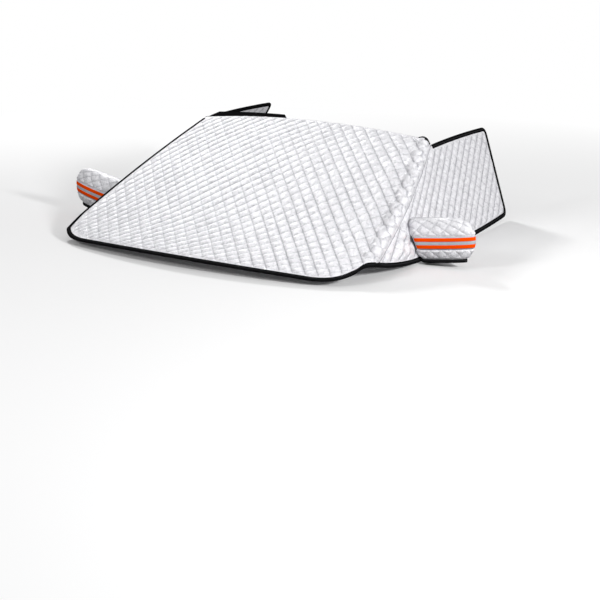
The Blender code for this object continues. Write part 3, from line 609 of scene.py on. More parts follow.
def closed_cloth(name, outer, inner, cells, finish, maps):
    """Two layers over the same cells, joined by a wall along the cells' free edges."""
    count = len(outer)
    sides = np.concatenate([cells[:, [a, (a + 1) % 4]] for a in range(4)])
    sides = sides[sides[:, 0] != sides[:, 1]]
    keys = np.sort(sides, axis=1)
    _, index, times = np.unique(keys, axis=0, return_index=True, return_counts=True)
    rim = sides[index[times == 1]]
    wall = np.stack((rim[:, 1], rim[:, 0], rim[:, 0] + count, rim[:, 1] + count), axis=1)
    faces = np.concatenate((cells, cells[:, ::-1] + count, wall))
    doubled = {key: np.concatenate((values, values)) for key, values in maps.items()}
    return new_piece(name, np.concatenate((outer, inner)), faces, finish, doubled)


def tile_rise(phase, depth):
    """Share of the puff at a phase: 1 less the depth times what |sin(pi phase)|, to a power, lacks of 1."""
    return 1.0 - depth * (1.0 - np.abs(np.sin(math.pi * phase)) ** TILE_POWER)


def phase_grid(low, high):
    """Phases from one whole number to another, with the stops of a tile between them."""
    return (np.arange(math.floor(low), math.ceil(high) + 1)[:, None] + TILE_STOPS[None]).ravel()


def grid_cells(rows, columns):
    """Corner numbers of the cells of a grid whose points are numbered row by row."""
    number = np.arange(rows * columns).reshape(rows, columns)
    here, after = number[:-1], number[1:]
    return np.stack((here[:, :-1], after[:, :-1], after[:, 1:], here[:, 1:]), axis=-1).reshape(-1, 4)


def trimmed_grid(outline, phases, places):
    """Grid of stitch phases cut to an outline.

    A cell with a corner inside stays, and its other corners move to the nearest point of the outline. Gives
    the cells and, for each point, its two phases, its pattern place and its distance from the outline.
    """
    u, v = phases(outline)
    grid_u, grid_v = np.meshgrid(phase_grid(u.min(), u.max()), phase_grid(v.min(), v.max()), indexing="ij")
    pattern = places(grid_u, grid_v).reshape(-1, 2)
    close = (pattern > outline.min(axis=0) - GRID_MARGIN) & (pattern < outline.max(axis=0) + GRID_MARGIN)
    close = np.all(close, axis=1)
    distance = np.zeros(len(pattern))
    nearest = pattern.copy()
    within = np.zeros(len(pattern), dtype=bool)
    distance[close], nearest[close], within[close] = to_outline(pattern[close], outline)
    cells = grid_cells(*grid_u.shape)
    cells = cells[within[cells].any(axis=1)]
    used, cells = np.unique(cells, return_inverse=True)
    inside = within[used]
    flat = np.where(inside[:, None], pattern[used], nearest[used])
    gap = np.where(inside, distance[used], 0.0)
    return cells.reshape(-1, 4), grid_u.ravel()[used], grid_v.ravel()[used], flat, gap


def quilted(name, outline, taped, phases, places, surface, drape, weights, finish, sizes, seed):
    """Quilted cloth on a grid of stitch phases, trimmed to its outline.

    phases maps pattern points to the two stitch phases and places maps them back. The height is that of the
    stitched cloth, plus the puff times the rises of the two families, times a share that falls to nothing
    at a sewn edge or under the tape. drape lifts both faces.
    """
    cells, phase_u, phase_v, flat, gap = trimmed_grid(outline, phases, places)
    from_tape = to_outline(flat, outline, taped)[0]
    from_seam = to_outline(flat, outline, ~taped)[0]
    reach = TAPE_FADE + (FAR_FADE - TAPE_FADE) * ramp(-flat[:, 0], FAR_START, FAR_RUN)
    fade = ramp(from_tape, sizes.tape, reach) * ramp(from_seam, sizes.hem, SEWN_FADE)
    variety = np.random.default_rng(seed).uniform(*TILE_VARIETY, VARIETY_TABLE)
    row = np.floor(phase_u).astype(int) % VARIETY_TABLE[0]
    column = np.floor(phase_v).astype(int) % VARIETY_TABLE[1]
    weight = weights(flat)
    rise = tile_rise(phase_u, weight[:, 0]) * tile_rise(phase_v, weight[:, 1])
    puff = sizes.puff * variety[row, column] * rise * fade
    base, normal = surface(flat)
    lift = drape(flat, gap)
    outer = base + normal * (STITCHED_CLOTH + puff + lift)[:, None]
    inner = base + normal * np.maximum(lift, 0.0)[:, None]
    if signed_area(flat, cells) < 0.0:
        cells = cells[:, ::-1]
    maps = {
        "stitch": np.stack((phase_u, phase_v), axis=-1),
        "cloth": flat,
        "flat": np.stack((fade, gap), axis=-1),
        "weight": weight,
    }
    return closed_cloth(name, outer, inner, cells, finish, maps)


def signed_area(flat, cells):
    """Sum over the cells of half the cross product of their diagonals."""
    first = flat[cells[:, 2]] - flat[cells[:, 0]]
    second = flat[cells[:, 3]] - flat[cells[:, 1]]
    return 0.5 * float((first[:, 0] * second[:, 1] - first[:, 1] * second[:, 0]).sum())


def outline_area(outline):
    """Half the sum of the cross products of each point and the next."""
    after = np.roll(outline, -1, axis=0)
    return abs(0.5 * float((outline[:, 0] * after[:, 1] - outline[:, 1] * after[:, 0]).sum()))


def swept(name, sections, finish):
    """Closed strip through a row of sections, with its two ends capped. Its map runs along and round it."""
    stations, corners = sections.shape[:2]
    number = np.arange(stations * corners).reshape(stations, corners)
    beside = np.roll(number, -1, axis=1)
    sides = np.stack((number[:-1], beside[:-1], beside[1:], number[1:]), axis=-1).reshape(-1, 4)
    faces = [*sides.tolist(), number[0, ::-1].tolist(), number[-1].tolist()]
    around = np.cumsum(np.linalg.norm(np.diff(sections, axis=1, prepend=sections[:, -1:]), axis=2), axis=1)
    middle = sections.mean(axis=1)
    along = np.concatenate(([0.0], np.cumsum(np.linalg.norm(np.diff(middle, axis=0), axis=1))))
    tape_map = np.stack(np.broadcast_arrays(along[:, None], around), axis=-1).reshape(-1, 2)
    points = sections.reshape(-1, 3)
    if side_volume(points[sides]) < 0.0:
        faces = [face[::-1] for face in faces]
    return new_piece(name, points, faces, finish, {"tape": tape_map})


def side_volume(quads):
    """Six times the volume between a strip's sides and the origin: two triple products to each quad."""
    a, b, c, d = quads.transpose(1, 0, 2)
    return float((a * np.cross(b, c)).sum() + (a * np.cross(c, d)).sum())


# Materials


class Socket:
    """A shader socket, on which arithmetic adds Math nodes."""

    def __init__(self, tree, value):
        self.tree = tree
        self.value = value

    def math(self, operation, *others):
        """One Math node on this socket and others."""
        return self.tree.node("ShaderNodeMath", {"operation": operation}, [self, *others])

    def __add__(self, other):
        return self.math("ADD", other)

    __radd__ = __add__

    def __mul__(self, other):
        return self.math("MULTIPLY", other)

    __rmul__ = __mul__

    def __sub__(self, other):
        return self.math("SUBTRACT", other)

    def __rsub__(self, other):
        return self.tree.node("ShaderNodeMath", {"operation": "SUBTRACT"}, [other, self])

    def __truediv__(self, other):
        return self.math("DIVIDE", other)

    def held(self):
        """Held between 0 and 1."""
        return self.tree.node("ShaderNodeClamp", {}, [self])


class Tree:
    """A material's nodes."""

    def __init__(self, name):
        self.material = bpy.data.materials.new(name)
        self.material.use_nodes = True
        self.nodes = self.material.node_tree.nodes
        self.links = self.material.node_tree.links
        self.shader = self.nodes["Principled BSDF"]

    def node(self, kind, settings=None, inputs=(), output=0):
        """Adds one node: its settings first, then values or links by place or by name."""
        made = self.nodes.new(kind)
        for key, value in (settings or {}).items():
            setattr(made, key, value)
        named = inputs.items() if isinstance(inputs, dict) else enumerate(inputs)
        for key, value in named:
            self.feed(made.inputs[key], value)
        return Socket(self, made.outputs[output])

    def feed(self, target, value):
        """Links a socket to an input, or sets a value on it."""
        if isinstance(value, Socket):
            self.links.new(value.value, target)
        elif value is not None:
            target.default_value = value

    def mix(self, share, first, second):
        """Colour between two colours, by a share."""
        made = self.nodes.new("ShaderNodeMix")
        made.data_type = "RGBA"
        self.feed(made.inputs["Factor"], share)
        self.feed(made.inputs[6], first)
        self.feed(made.inputs[7], second)
        return Socket(self, made.outputs[2])

    def uv(self, name):
        """A named map, and its two parts."""
        source = self.node("ShaderNodeUVMap", {"uv_map": name})
        parts = self.nodes.new("ShaderNodeSeparateXYZ")
        self.links.new(source.value, parts.inputs[0])
        return source, Socket(self, parts.outputs[0]), Socket(self, parts.outputs[1])

    def object_place(self):
        """Place in metres."""
        return self.node("ShaderNodeTexCoord", output="Object")

    def noise(self, place, scale, detail=3.0, roughness=0.55, distortion=0.0):
        """Soft random pattern between 0 and 1."""
        inputs = {"Vector": place, "Scale": scale, "Detail": detail}
        inputs |= {"Roughness": roughness, "Distortion": distortion}
        return self.node("ShaderNodeTexNoise", {}, inputs)

    def bump(self, height, distance, strength=1.0, after=None):
        """Normal leaned by the slope of a height."""
        inputs = {"Height": height, "Distance": distance, "Strength": strength}
        if after is not None:
            inputs["Normal"] = after
        return self.node("ShaderNodeBump", {}, inputs)

    def finish(self, colour, roughness, normal, metallic=0.0, settings=None):
        """Feeds the shader, with constant settings on its own sockets, and gives the material."""
        self.feed(self.shader.inputs["Base Color"], colour)
        self.feed(self.shader.inputs["Roughness"], roughness)
        self.feed(self.shader.inputs["Metallic"], metallic)
        if normal is not None:
            self.feed(self.shader.inputs["Normal"], normal)
        for key, value in (settings or {}).items():
            self.shader.inputs[key].default_value = value
        return self.material


def colour4(values):
    """A colour with full opacity."""
    return (*values, 1.0)


def crease(phase, sharpness, weight):
    """Weight on a stitch line: 1 less the sharpness times the distance from the nearest whole number."""
    distance = (phase - phase.math("ROUND")).math("ABSOLUTE")
    return (1.0 - distance * sharpness).held() * weight


def silver_cloth(colours, sizes):
    """Coated silver cloth: painted shade on the stitch lines and softer beside them, crumples and a fine
    weave.
    """
    tree = Tree("silver_quilted_cloth")
    _, u, v = tree.uv("stitch")
    cloth, _, _ = tree.uv("cloth")
    _, weight_u, weight_v = tree.uv("weight")
    _, fade, gap = tree.uv("flat")
    place = tree.object_place()
    # line: the stitch lines, darkened in the colour as painted shade in their grooves, with a little dirt
    line_u = crease(u, LINE_SHARPNESS, weight_u)
    line_v = crease(v, LINE_SHARPNESS, weight_v)
    line = line_u.math("MAXIMUM", line_v) * fade
    # soft: a wider painted shade on the tiles' flanks beside the stitch lines
    soft = crease(u, SOFT_SHARPNESS, weight_u).math("MAXIMUM", crease(v, SOFT_SHARPNESS, weight_v)) * fade
    cloud = tree.noise(place, CLOUD_GRAIN, 4.0, 0.6)
    crumple = tree.noise(place, CRUMPLE_GRAIN, 5.0, 0.68, 0.9)
    fine = tree.noise(place, FINE_GRAIN, 3.0, 0.5, 0.3)
    # seam: painted shade within a few millimetres of the cloth's seams and edges, read from the gap in the
    # flat map
    seam = (1.0 - gap * SEAM_SHARPNESS).held()
    shade = line * LINE_PAINTED_SHADE + soft * SOFT_PAINTED_SHADE + seam * SEAM_PAINTED_SHADE + BASE_SHADE
    # The crumples, which also make the bump, mottle the colour with painted shade; the clouds vary its tone
    # at random
    shade = shade + (crumple - 0.5) * CRUMPLE_TONE_AND_PAINTED_SHADE + (cloud - 0.5) * CLOUD_SHADE
    colour = tree.mix(shade.held(), colour4(colours.silver), colour4(colours.painted_shade_and_tone))
    rough = 0.40 + line * 0.15 + (cloud - 0.5) * 0.12 + (crumple - 0.5) * 0.16
    weave = tree.node("ShaderNodeTexWave", {"wave_type": "BANDS", "bands_direction": "X"},
                      {"Vector": cloth, "Scale": WEAVE_GRAIN, "Distortion": 0.0})
    thread = (u * THREAD_TURNS).math("SINE") * line_v + (v * THREAD_TURNS).math("SINE") * line_u
    height = crumple + fine * 0.35 + thread * 0.05 - line * 0.35
    normal = tree.bump(height, sizes.wrinkle)
    normal = tree.bump(weave, 0.00005, 0.4, normal)
    return tree.finish(colour, rough, normal, 0.16, {"Specular IOR Level": 0.5, "Sheen Weight": 0.12})


def black_tape(colours):
    """Matte woven tape: fine ribs across its run and a line of stitches along its middle."""
    tree = Tree("black_woven_tape")
    tape, _, around = tree.uv("tape")
    ribs = tree.node("ShaderNodeTexWave", {"wave_type": "BANDS", "bands_direction": "X"},
                     {"Vector": tape, "Scale": 300.0, "Distortion": 0.4, "Detail": 1.0})
    dust = tree.noise(tree.object_place(), 40.0, 4.0)
    stitches = (1.0 - (around - TAPE_STITCH).math("ABSOLUTE") * 700.0).held()
    colour = tree.mix((dust * 0.5).held(), colour4(colours.black), (0.012, 0.012, 0.013, 1.0))
    colour = tree.mix(stitches, colour, (0.045, 0.045, 0.048, 1.0))
    normal = tree.bump(ribs, 0.0003, 0.6)
    return tree.finish(colour, 0.62 + dust * 0.25, normal, 0.0, {"Specular IOR Level": 0.0})


def reflective_tape(colours):
    """Retro-reflective band: blue-grey with a fine bead grain and soft brightness changes."""
    tree = Tree("reflective_band")
    place = tree.object_place()
    beads = tree.noise(place, 420.0, 2.0)
    cloud = tree.noise(place, 45.0, 4.0, 0.7)
    colour = tree.mix((cloud * 0.9).held(), colour4(colours.reflective), (0.62, 0.67, 0.74, 1.0))
    normal = tree.bump(beads + cloud * 0.6, 0.0006, 0.6)
    return tree.finish(colour, 0.34 + beads * 0.2, normal, 0.35)


def orange_tape(colours):
    """Fluorescent stripe: a matte film with a faint honeycomb of welds."""
    tree = Tree("orange_stripe")
    place = tree.object_place()
    cells = tree.node("ShaderNodeTexVoronoi", {"feature": "DISTANCE_TO_EDGE"},
                      {"Vector": place, "Scale": 260.0})
    cloud = tree.noise(place, 30.0, 3.0)
    colour = tree.mix((cloud * 0.35).held(), colour4(colours.orange), (0.98, 0.070, 0.001, 1.0))
    normal = tree.bump((cells * 6.0).held(), 0.0002, 0.5)
    return tree.finish(colour, 0.72 + cloud * 0.1, normal, 0.0, {"Specular IOR Level": 0.0})


def finishes():
    """The four finishes, made once."""
    sizes = bpy.context.scene.cover_sizes
    colours = bpy.context.scene.cover_colours
    makers = {
        "silver_quilted_cloth": lambda: silver_cloth(colours, sizes),
        "black_woven_tape": lambda: black_tape(colours),
        "reflective_band": lambda: reflective_tape(colours),
        "orange_stripe": lambda: orange_tape(colours),
    }
    return {name: bpy.data.materials.get(name) or make() for name, make in makers.items()}


# Stitch phases


def steep_phase(pattern):
    """Whole numbers on the stitch lines whose normal points at one angle everywhere."""
    normal = np.array((math.cos(PANEL_STEEP_ANGLE), math.sin(PANEL_STEEP_ANGLE)))
    return pattern @ normal / PANEL_STEEP_PITCH


# Shift across of a shallow line at levels up the panel: the running sum of the tangent of its slope
LEVELS = np.linspace(SHALLOW_LEVELS[0] - 0.4, SHALLOW_LEVELS[-1] + 0.4, 1201)
SLOPES = np.tan(np.radians(np.interp(LEVELS, SHALLOW_LEVELS, SHALLOW_ANGLES)))
SHIFTS = np.concatenate(([0.0], np.cumsum((SLOPES[1:] + SLOPES[:-1]) / 2.0 * np.diff(LEVELS))))


def panel_phases(pattern):
    """The steep family, and the shallow one: across less its shift, over its pitch."""
    shift = np.interp(pattern[..., 1], LEVELS, SHIFTS)
    return steep_phase(pattern), (pattern[..., 0] - shift) / PANEL_SHALLOW_PITCH


def panel_places(u, v):
    """Pattern points of two phases: the families' difference rises with up alone, and is turned round."""
    tangent = math.tan(PANEL_STEEP_ANGLE)
    steep_across = u * PANEL_STEEP_PITCH / math.cos(PANEL_STEEP_ANGLE)
    up = np.interp(steep_across - v * PANEL_SHALLOW_PITCH, LEVELS * tangent + SHIFTS, LEVELS)
    return np.stack((steep_across - up * tangent, up), axis=-1)


WING_WAVES = np.stack((np.cos(WING_ANGLES), np.sin(WING_ANGLES)), axis=-1) / np.array(WING_PITCHES)[:, None]


def wing_phases(pattern):
    """Both families are straight: the phases are a matrix times the pattern point."""
    phases = pattern @ WING_WAVES.T
    return phases[..., 0], phases[..., 1]


def wing_places(u, v):
    """The inverse of that matrix times the two phases."""
    return np.stack((u, v), axis=-1) @ np.linalg.inv(WING_WAVES).T


# Folds and operators


def sheet_facts(outline):
    """Works out the spread and the area of a cloth's cut, and keeps neither."""
    spread = outline.max(axis=0) - outline.min(axis=0)
    outline_area(outline)


def hump(values):
    """exp(-x^2)."""
    return np.exp(-values * values)


def panel_folds(pattern, gap):
    """Ripples and a swell over the left turn.

    The ripples are a squared sine along the turn line, whose phase wanders by a slower sine. They fade in
    across the turn, off the edges and above the foot. The swell is a hump on the panel's side of the turn.
    """
    offset = np.stack((np.abs(pattern[..., 0]), pattern[..., 1]), axis=-1) - CENTRE
    run = np.linalg.norm(offset, axis=-1) - start_radius(LEFT)
    along = np.arctan2(offset[..., 1], offset[..., 0]) * TURN_RADIUS
    turns = 2.0 * math.pi * along
    wave = np.sin(turns / RIPPLE_LENGTH + RIPPLE_WANDER * np.sin(turns / RIPPLE_DRIFT))
    window = ramp(run, *RIPPLE_ACROSS) * ramp(gap, *RIPPLE_EDGE) * ramp(pattern[..., 1], *RIPPLE_FOOT)
    swell = SWELL_HEIGHT * hump((run + SWELL_PLACE) / SWELL_WIDTH) * ramp(gap, *SWELL_EDGE)
    left = pattern[..., 0] > 0.0
    return left * (RIPPLE_HEIGHT * (0.5 + 0.5 * wave) ** 2 * window + swell)


def panel_weights(pattern):
    """Depth of each stitch family, between its depth at the right and its depth at the left."""
    share = ramp(pattern[..., 0], DEPTHS_START, DEPTHS_RUN)
    return np.stack([low + (high - low) * share for low, high in (STEEP_DEPTHS, SHALLOW_DEPTHS)], axis=-1)


def wing_weights(pattern):
    """Deep ribs one way and faint crossings the other."""
    return np.ones_like(pattern) * np.array(WING_DEPTHS)


def wing_folds(wing):
    """Folds of a wing in front of its pocket: humps that lean back as they rise and die out above."""

    def folds(pattern, gap):
        back = pattern[..., 0] - FOLD_LEAN * pattern[..., 1] - POCKET_BACK[wing.side]
        low = smooth((FOLD_TOP - pattern[..., 1]) / FOLD_FADE) * ramp(gap, *FOLD_EDGE)
        ridges = sum(share * hump((back + ahead) / width) for ahead, width, share in FOLD_RIDGES)
        return FOLD_RIDGE * ridges * low

    return folds


class COVER_OT_panel(bpy.types.Operator):
    """Quilted main panel over both turn lines"""

    bl_idname = "cover.panel"
    bl_label = "Main panel"

    def execute(self, context):
        sizes = context.scene.cover_sizes
        outline, taped = panel_outline(CLOTH_STEP)
        silver = finishes()["silver_quilted_cloth"]
        piece = quilted("quilted_panel", outline, taped, panel_phases, panel_places, panel_surface,
                        panel_folds, panel_weights, silver, sizes, PANEL_SEED)
        settle(piece, "silver_cloth", "main_panel")
        sheet_facts(outline)
        return {"FINISHED"}


class COVER_OT_wings(bpy.types.Operator):
    """Quilted side wings, sewn to the panel's seams"""

    bl_idname = "cover.wings"
    bl_label = "Side wings"

    def execute(self, context):
        sizes = context.scene.cover_sizes
        silver = finishes()["silver_quilted_cloth"]
        for side, label in SIDES:
            wing = Wing(side)
            outline, taped = wing_outline(wing, CLOTH_STEP)
            piece = quilted("quilted_wing_" + label, outline, taped, wing_phases, wing_places, wing.surface,
                            wing_folds(wing), wing_weights, silver, sizes, WING_SEEDS[side])
            if side == RIGHT:
                piece.data.flip_normals()
            settle(piece, "silver_cloth", "side_wing_" + label)
            sheet_facts(outline)
        return {"FINISHED"}


def tape_profile(width):
    """Section of the folded tape: (distance outwards from the cloth's edge, height over its inner face).

    Two walls lie over and under the cloth, a little fuller in the middle, and join in a rounded nose.
    """
    over = STITCHED_CLOTH + BINDING_GAP
    under = -BINDING_GAP
    edge = BINDING_GAP
    wall = BINDING_WALL
    middle = STITCHED_CLOTH / 2.0
    half = (over - under) / 2.0 + wall
    turn = np.radians(np.linspace(80.0, -80.0, 7))
    nose = [(edge + wall * 0.2 + half * 0.55 * math.cos(a), middle + half * math.sin(a)) for a in turn]
    top = [(-width, over + wall * 0.55), (-width + 0.002, over + wall), (-width * 0.5, over + wall * 1.25)]
    low = [(-width * 0.5, under - wall), (-width, under - wall)]
    inner = [(-width, under), (edge, under), (edge, over), (-width, over)]
    return np.array(top + nose + low + inner)


def tape_sections(path, surface, width, turn, end_leads=None):
    """Sections of a folded tape along a pattern path, square to it, or turned to a given lead at an end."""
    along = unit(np.gradient(path, axis=0))
    lead = np.stack((-along[:, 1], along[:, 0]), axis=-1) * turn
    for at_end, direction in (end_leads or {}).items():
        place = path[-1] if at_end else path[0]
        share = smooth(1.0 - np.linalg.norm(path - place, axis=1) / LEAD_BLEND)[:, None]
        slanted = direction / (lead @ direction)[:, None]
        lead = lead * (1.0 - share) + slanted * share
    profile = tape_profile(width)
    pattern = path[:, None, :] + lead[:, None, :] * profile[None, :, :1]
    base, normal = surface(pattern)
    return base + normal * profile[None, :, 1:]


class COVER_OT_tapes(bpy.types.Operator):
    """Black tape folded over the edges"""

    bl_idname = "cover.tapes"
    bl_label = "Edge tapes"

    def execute(self, context):
        width = context.scene.cover_sizes.tape
        black = finishes()["black_woven_tape"]
        left = Wing(LEFT)
        right = Wing(RIGHT)
        seam = np.stack((left.seam_back, left.seam_up), axis=-1)
        seam_lead = unit(seam[1] - seam[0])
        first = tape_sections(wing_edges(left, TAPE_STEP), left.surface, width, 1.0, {True: -seam_lead})
        lower = np.concatenate((lower_path(LEFT, TAPE_STEP)[::-1], lower_path(RIGHT, TAPE_STEP)[1:]))
        stop = seam_angle(RIGHT, PANEL_HEIGHT - HEAD_SHORT)
        up_seam = seam_pattern(RIGHT, np.linspace(seam_angle(RIGHT, SEAM_FOOT), stop, SEAM_STATIONS - 1))
        angle = seam_angle(LEFT, SEAM_FOOT)
        grain = np.array((-math.sin(angle), math.cos(angle)))
        path = np.concatenate((lower, up_seam[1:]))
        second = tape_sections(path, panel_surface, width, 1.0, {False: -grain})
        main = swept("edge_tape", np.concatenate((first, second)), black)
        settle(main, "black_tape", "edge_binding")
        path = wing_edges(right, TAPE_STEP)
        path = path[path[:, 0] > right.seam_back[0] + WEDGE_CLEAR]
        far = swept("wing_tape_right", tape_sections(path, right.surface, width, 1.0), black)
        settle(far, "black_tape", "wing_binding_right")
        head = seam_pattern(LEFT, seam_angle(LEFT, PANEL_HEIGHT))[0] - CORNER_CLEAR
        across = steps(head, BINDING_START, TAPE_STEP / 2.0)
        corner = np.stack((across, np.full_like(across, PANEL_HEIGHT)), axis=-1)
        short = swept("corner_tape_left", tape_sections(corner, panel_surface, width, -1.0), black)
        settle(short, "black_tape", "corner_binding_left")
        return {"FINISHED"}


class COVER_OT_strip(bpy.types.Operator):
    """Upper strip beyond the top edge"""

    bl_idname = "cover.strip"
    bl_label = "Upper strip"

    def execute(self, context):
        share = np.linspace(0.0, 1.0, STRIP_STATIONS)
        place = -(STRIP_INNER + (STRIP_OUTER - STRIP_INNER) * share)
        width = STRIP_INNER_WIDTH + (STRIP_OUTER_WIDTH - STRIP_INNER_WIDTH) * share
        pull = STRIP_SLANT * width * (1.0 - 2.0 * share)
        low, high = STRIP_ROUND, STRIP_THICKNESS - STRIP_ROUND
        near, far = STRIP_EASE, 1.0 - STRIP_EASE
        profile = (
            (0.0, low), (0.0, high), (near, STRIP_THICKNESS), (0.5, STRIP_THICKNESS * STRIP_CROWN),
            (far, STRIP_THICKNESS), (1.0, high), (1.0, low), (far, 0.0), (near, 0.0),
        )
        sections = []
        for along, height in profile:
            up = PANEL_HEIGHT + STRIP_GAP + (width - STRIP_GAP) * along
            base, normal = panel_surface(np.stack((place - pull * along, up), axis=-1))
            sections.append(base + normal * height)
        piece = swept("upper_strip", np.stack(sections, axis=1), finishes()["black_woven_tape"])
        settle(piece, "black_tape", "top_strip")
        return {"FINISHED"}


# Mirror pockets


def pocket_angles(count):
    """Angles at even lengths round the pocket's plan, a squared circle, from its front, and its length."""
    turn = np.linspace(0.0, math.pi, 4001)
    power = 2.0 / POCKET_SQUARENESS
    x = (POCKET_TIP_X - WING_FOOT_X) * np.sin(turn) ** power
    y = -np.sign(np.cos(turn)) * np.abs(np.cos(turn)) ** power * POCKET_DEPTH / 2.0
    length = np.concatenate(([0.0], np.cumsum(np.hypot(np.diff(x), np.diff(y)))))
    return np.interp(np.linspace(0.0, length[-1], count), length, turn), length[-1]


def pocket_surface(wing, level, angle):
    """Outer face of a pocket: a squared circle in plan and in section, drawn in to a neck at the wing.

    The fullness at a level h is (1 - |h / height|^n)^(1/n). It scales the depth and part of the reach.
    """
    power = 2.0 / POCKET_SQUARENESS
    height = np.where(level > 0.0, POCKET_TOP, POCKET_UNDERCUT)
    hollow = np.maximum(1.0 - np.abs(level / height) ** POCKET_SQUARENESS, 0.0)
    fullness = hollow ** (1.0 / POCKET_SQUARENESS)
    out = np.maximum(np.sin(angle), 0.0) ** power
    back = -np.sign(np.cos(angle)) * np.abs(np.cos(angle)) ** power * POCKET_DEPTH / 2.0 * fullness
    near = np.maximum(0.0, 1.0 - out * (POCKET_TIP_X - WING_FOOT_X) / NECK_LENGTH) ** 2
    shrink = 1.0 - NECK_SHRINK * near
    y = POCKET_BACK[wing.side] + back * shrink
    z = POCKET_LEVEL[wing.side] + level * shrink
    lift = STITCHED_CLOTH + NECK_GAP
    up = (z - lift * math.sin(WING_LEAN)) / math.cos(WING_LEAN)
    seat, _ = wing.surface(np.stack((y, up), axis=-1))
    seat_x = np.abs(seat[..., 0]) + lift * math.cos(WING_LEAN)
    tip = seat_x + (POCKET_TIP_X - seat_x) * (POCKET_RIDGE + (1.0 - POCKET_RIDGE) * fullness)
    x = seat_x + (tip - seat_x) * out
    rise = POCKET_RISE[wing.side] * (x - seat_x) * (1.0 - near)
    return np.stack((x * wing.side, y, z + rise), axis=-1)


def pocket_grid(wing, levels, angles):
    """Points of a pocket's face over levels and angles, and their normals: the gradients' cross product."""
    points = pocket_surface(wing, *np.meshgrid(levels, angles, indexing="ij"))
    normals = np.cross(np.gradient(points, axis=1), np.gradient(points, axis=0)) * wing.side
    return points, unit(normals)


def pocket_levels(count):
    """Levels from the rim to the ridge: even below the middle, and by a sine where the top curves over."""
    low = np.linspace(-POCKET_DROP, 0.0, count // 2, endpoint=False)
    turn = np.linspace(0.0, math.pi / 2.0, count - count // 2)
    return np.concatenate((low, POCKET_TOP * np.sin(turn)))


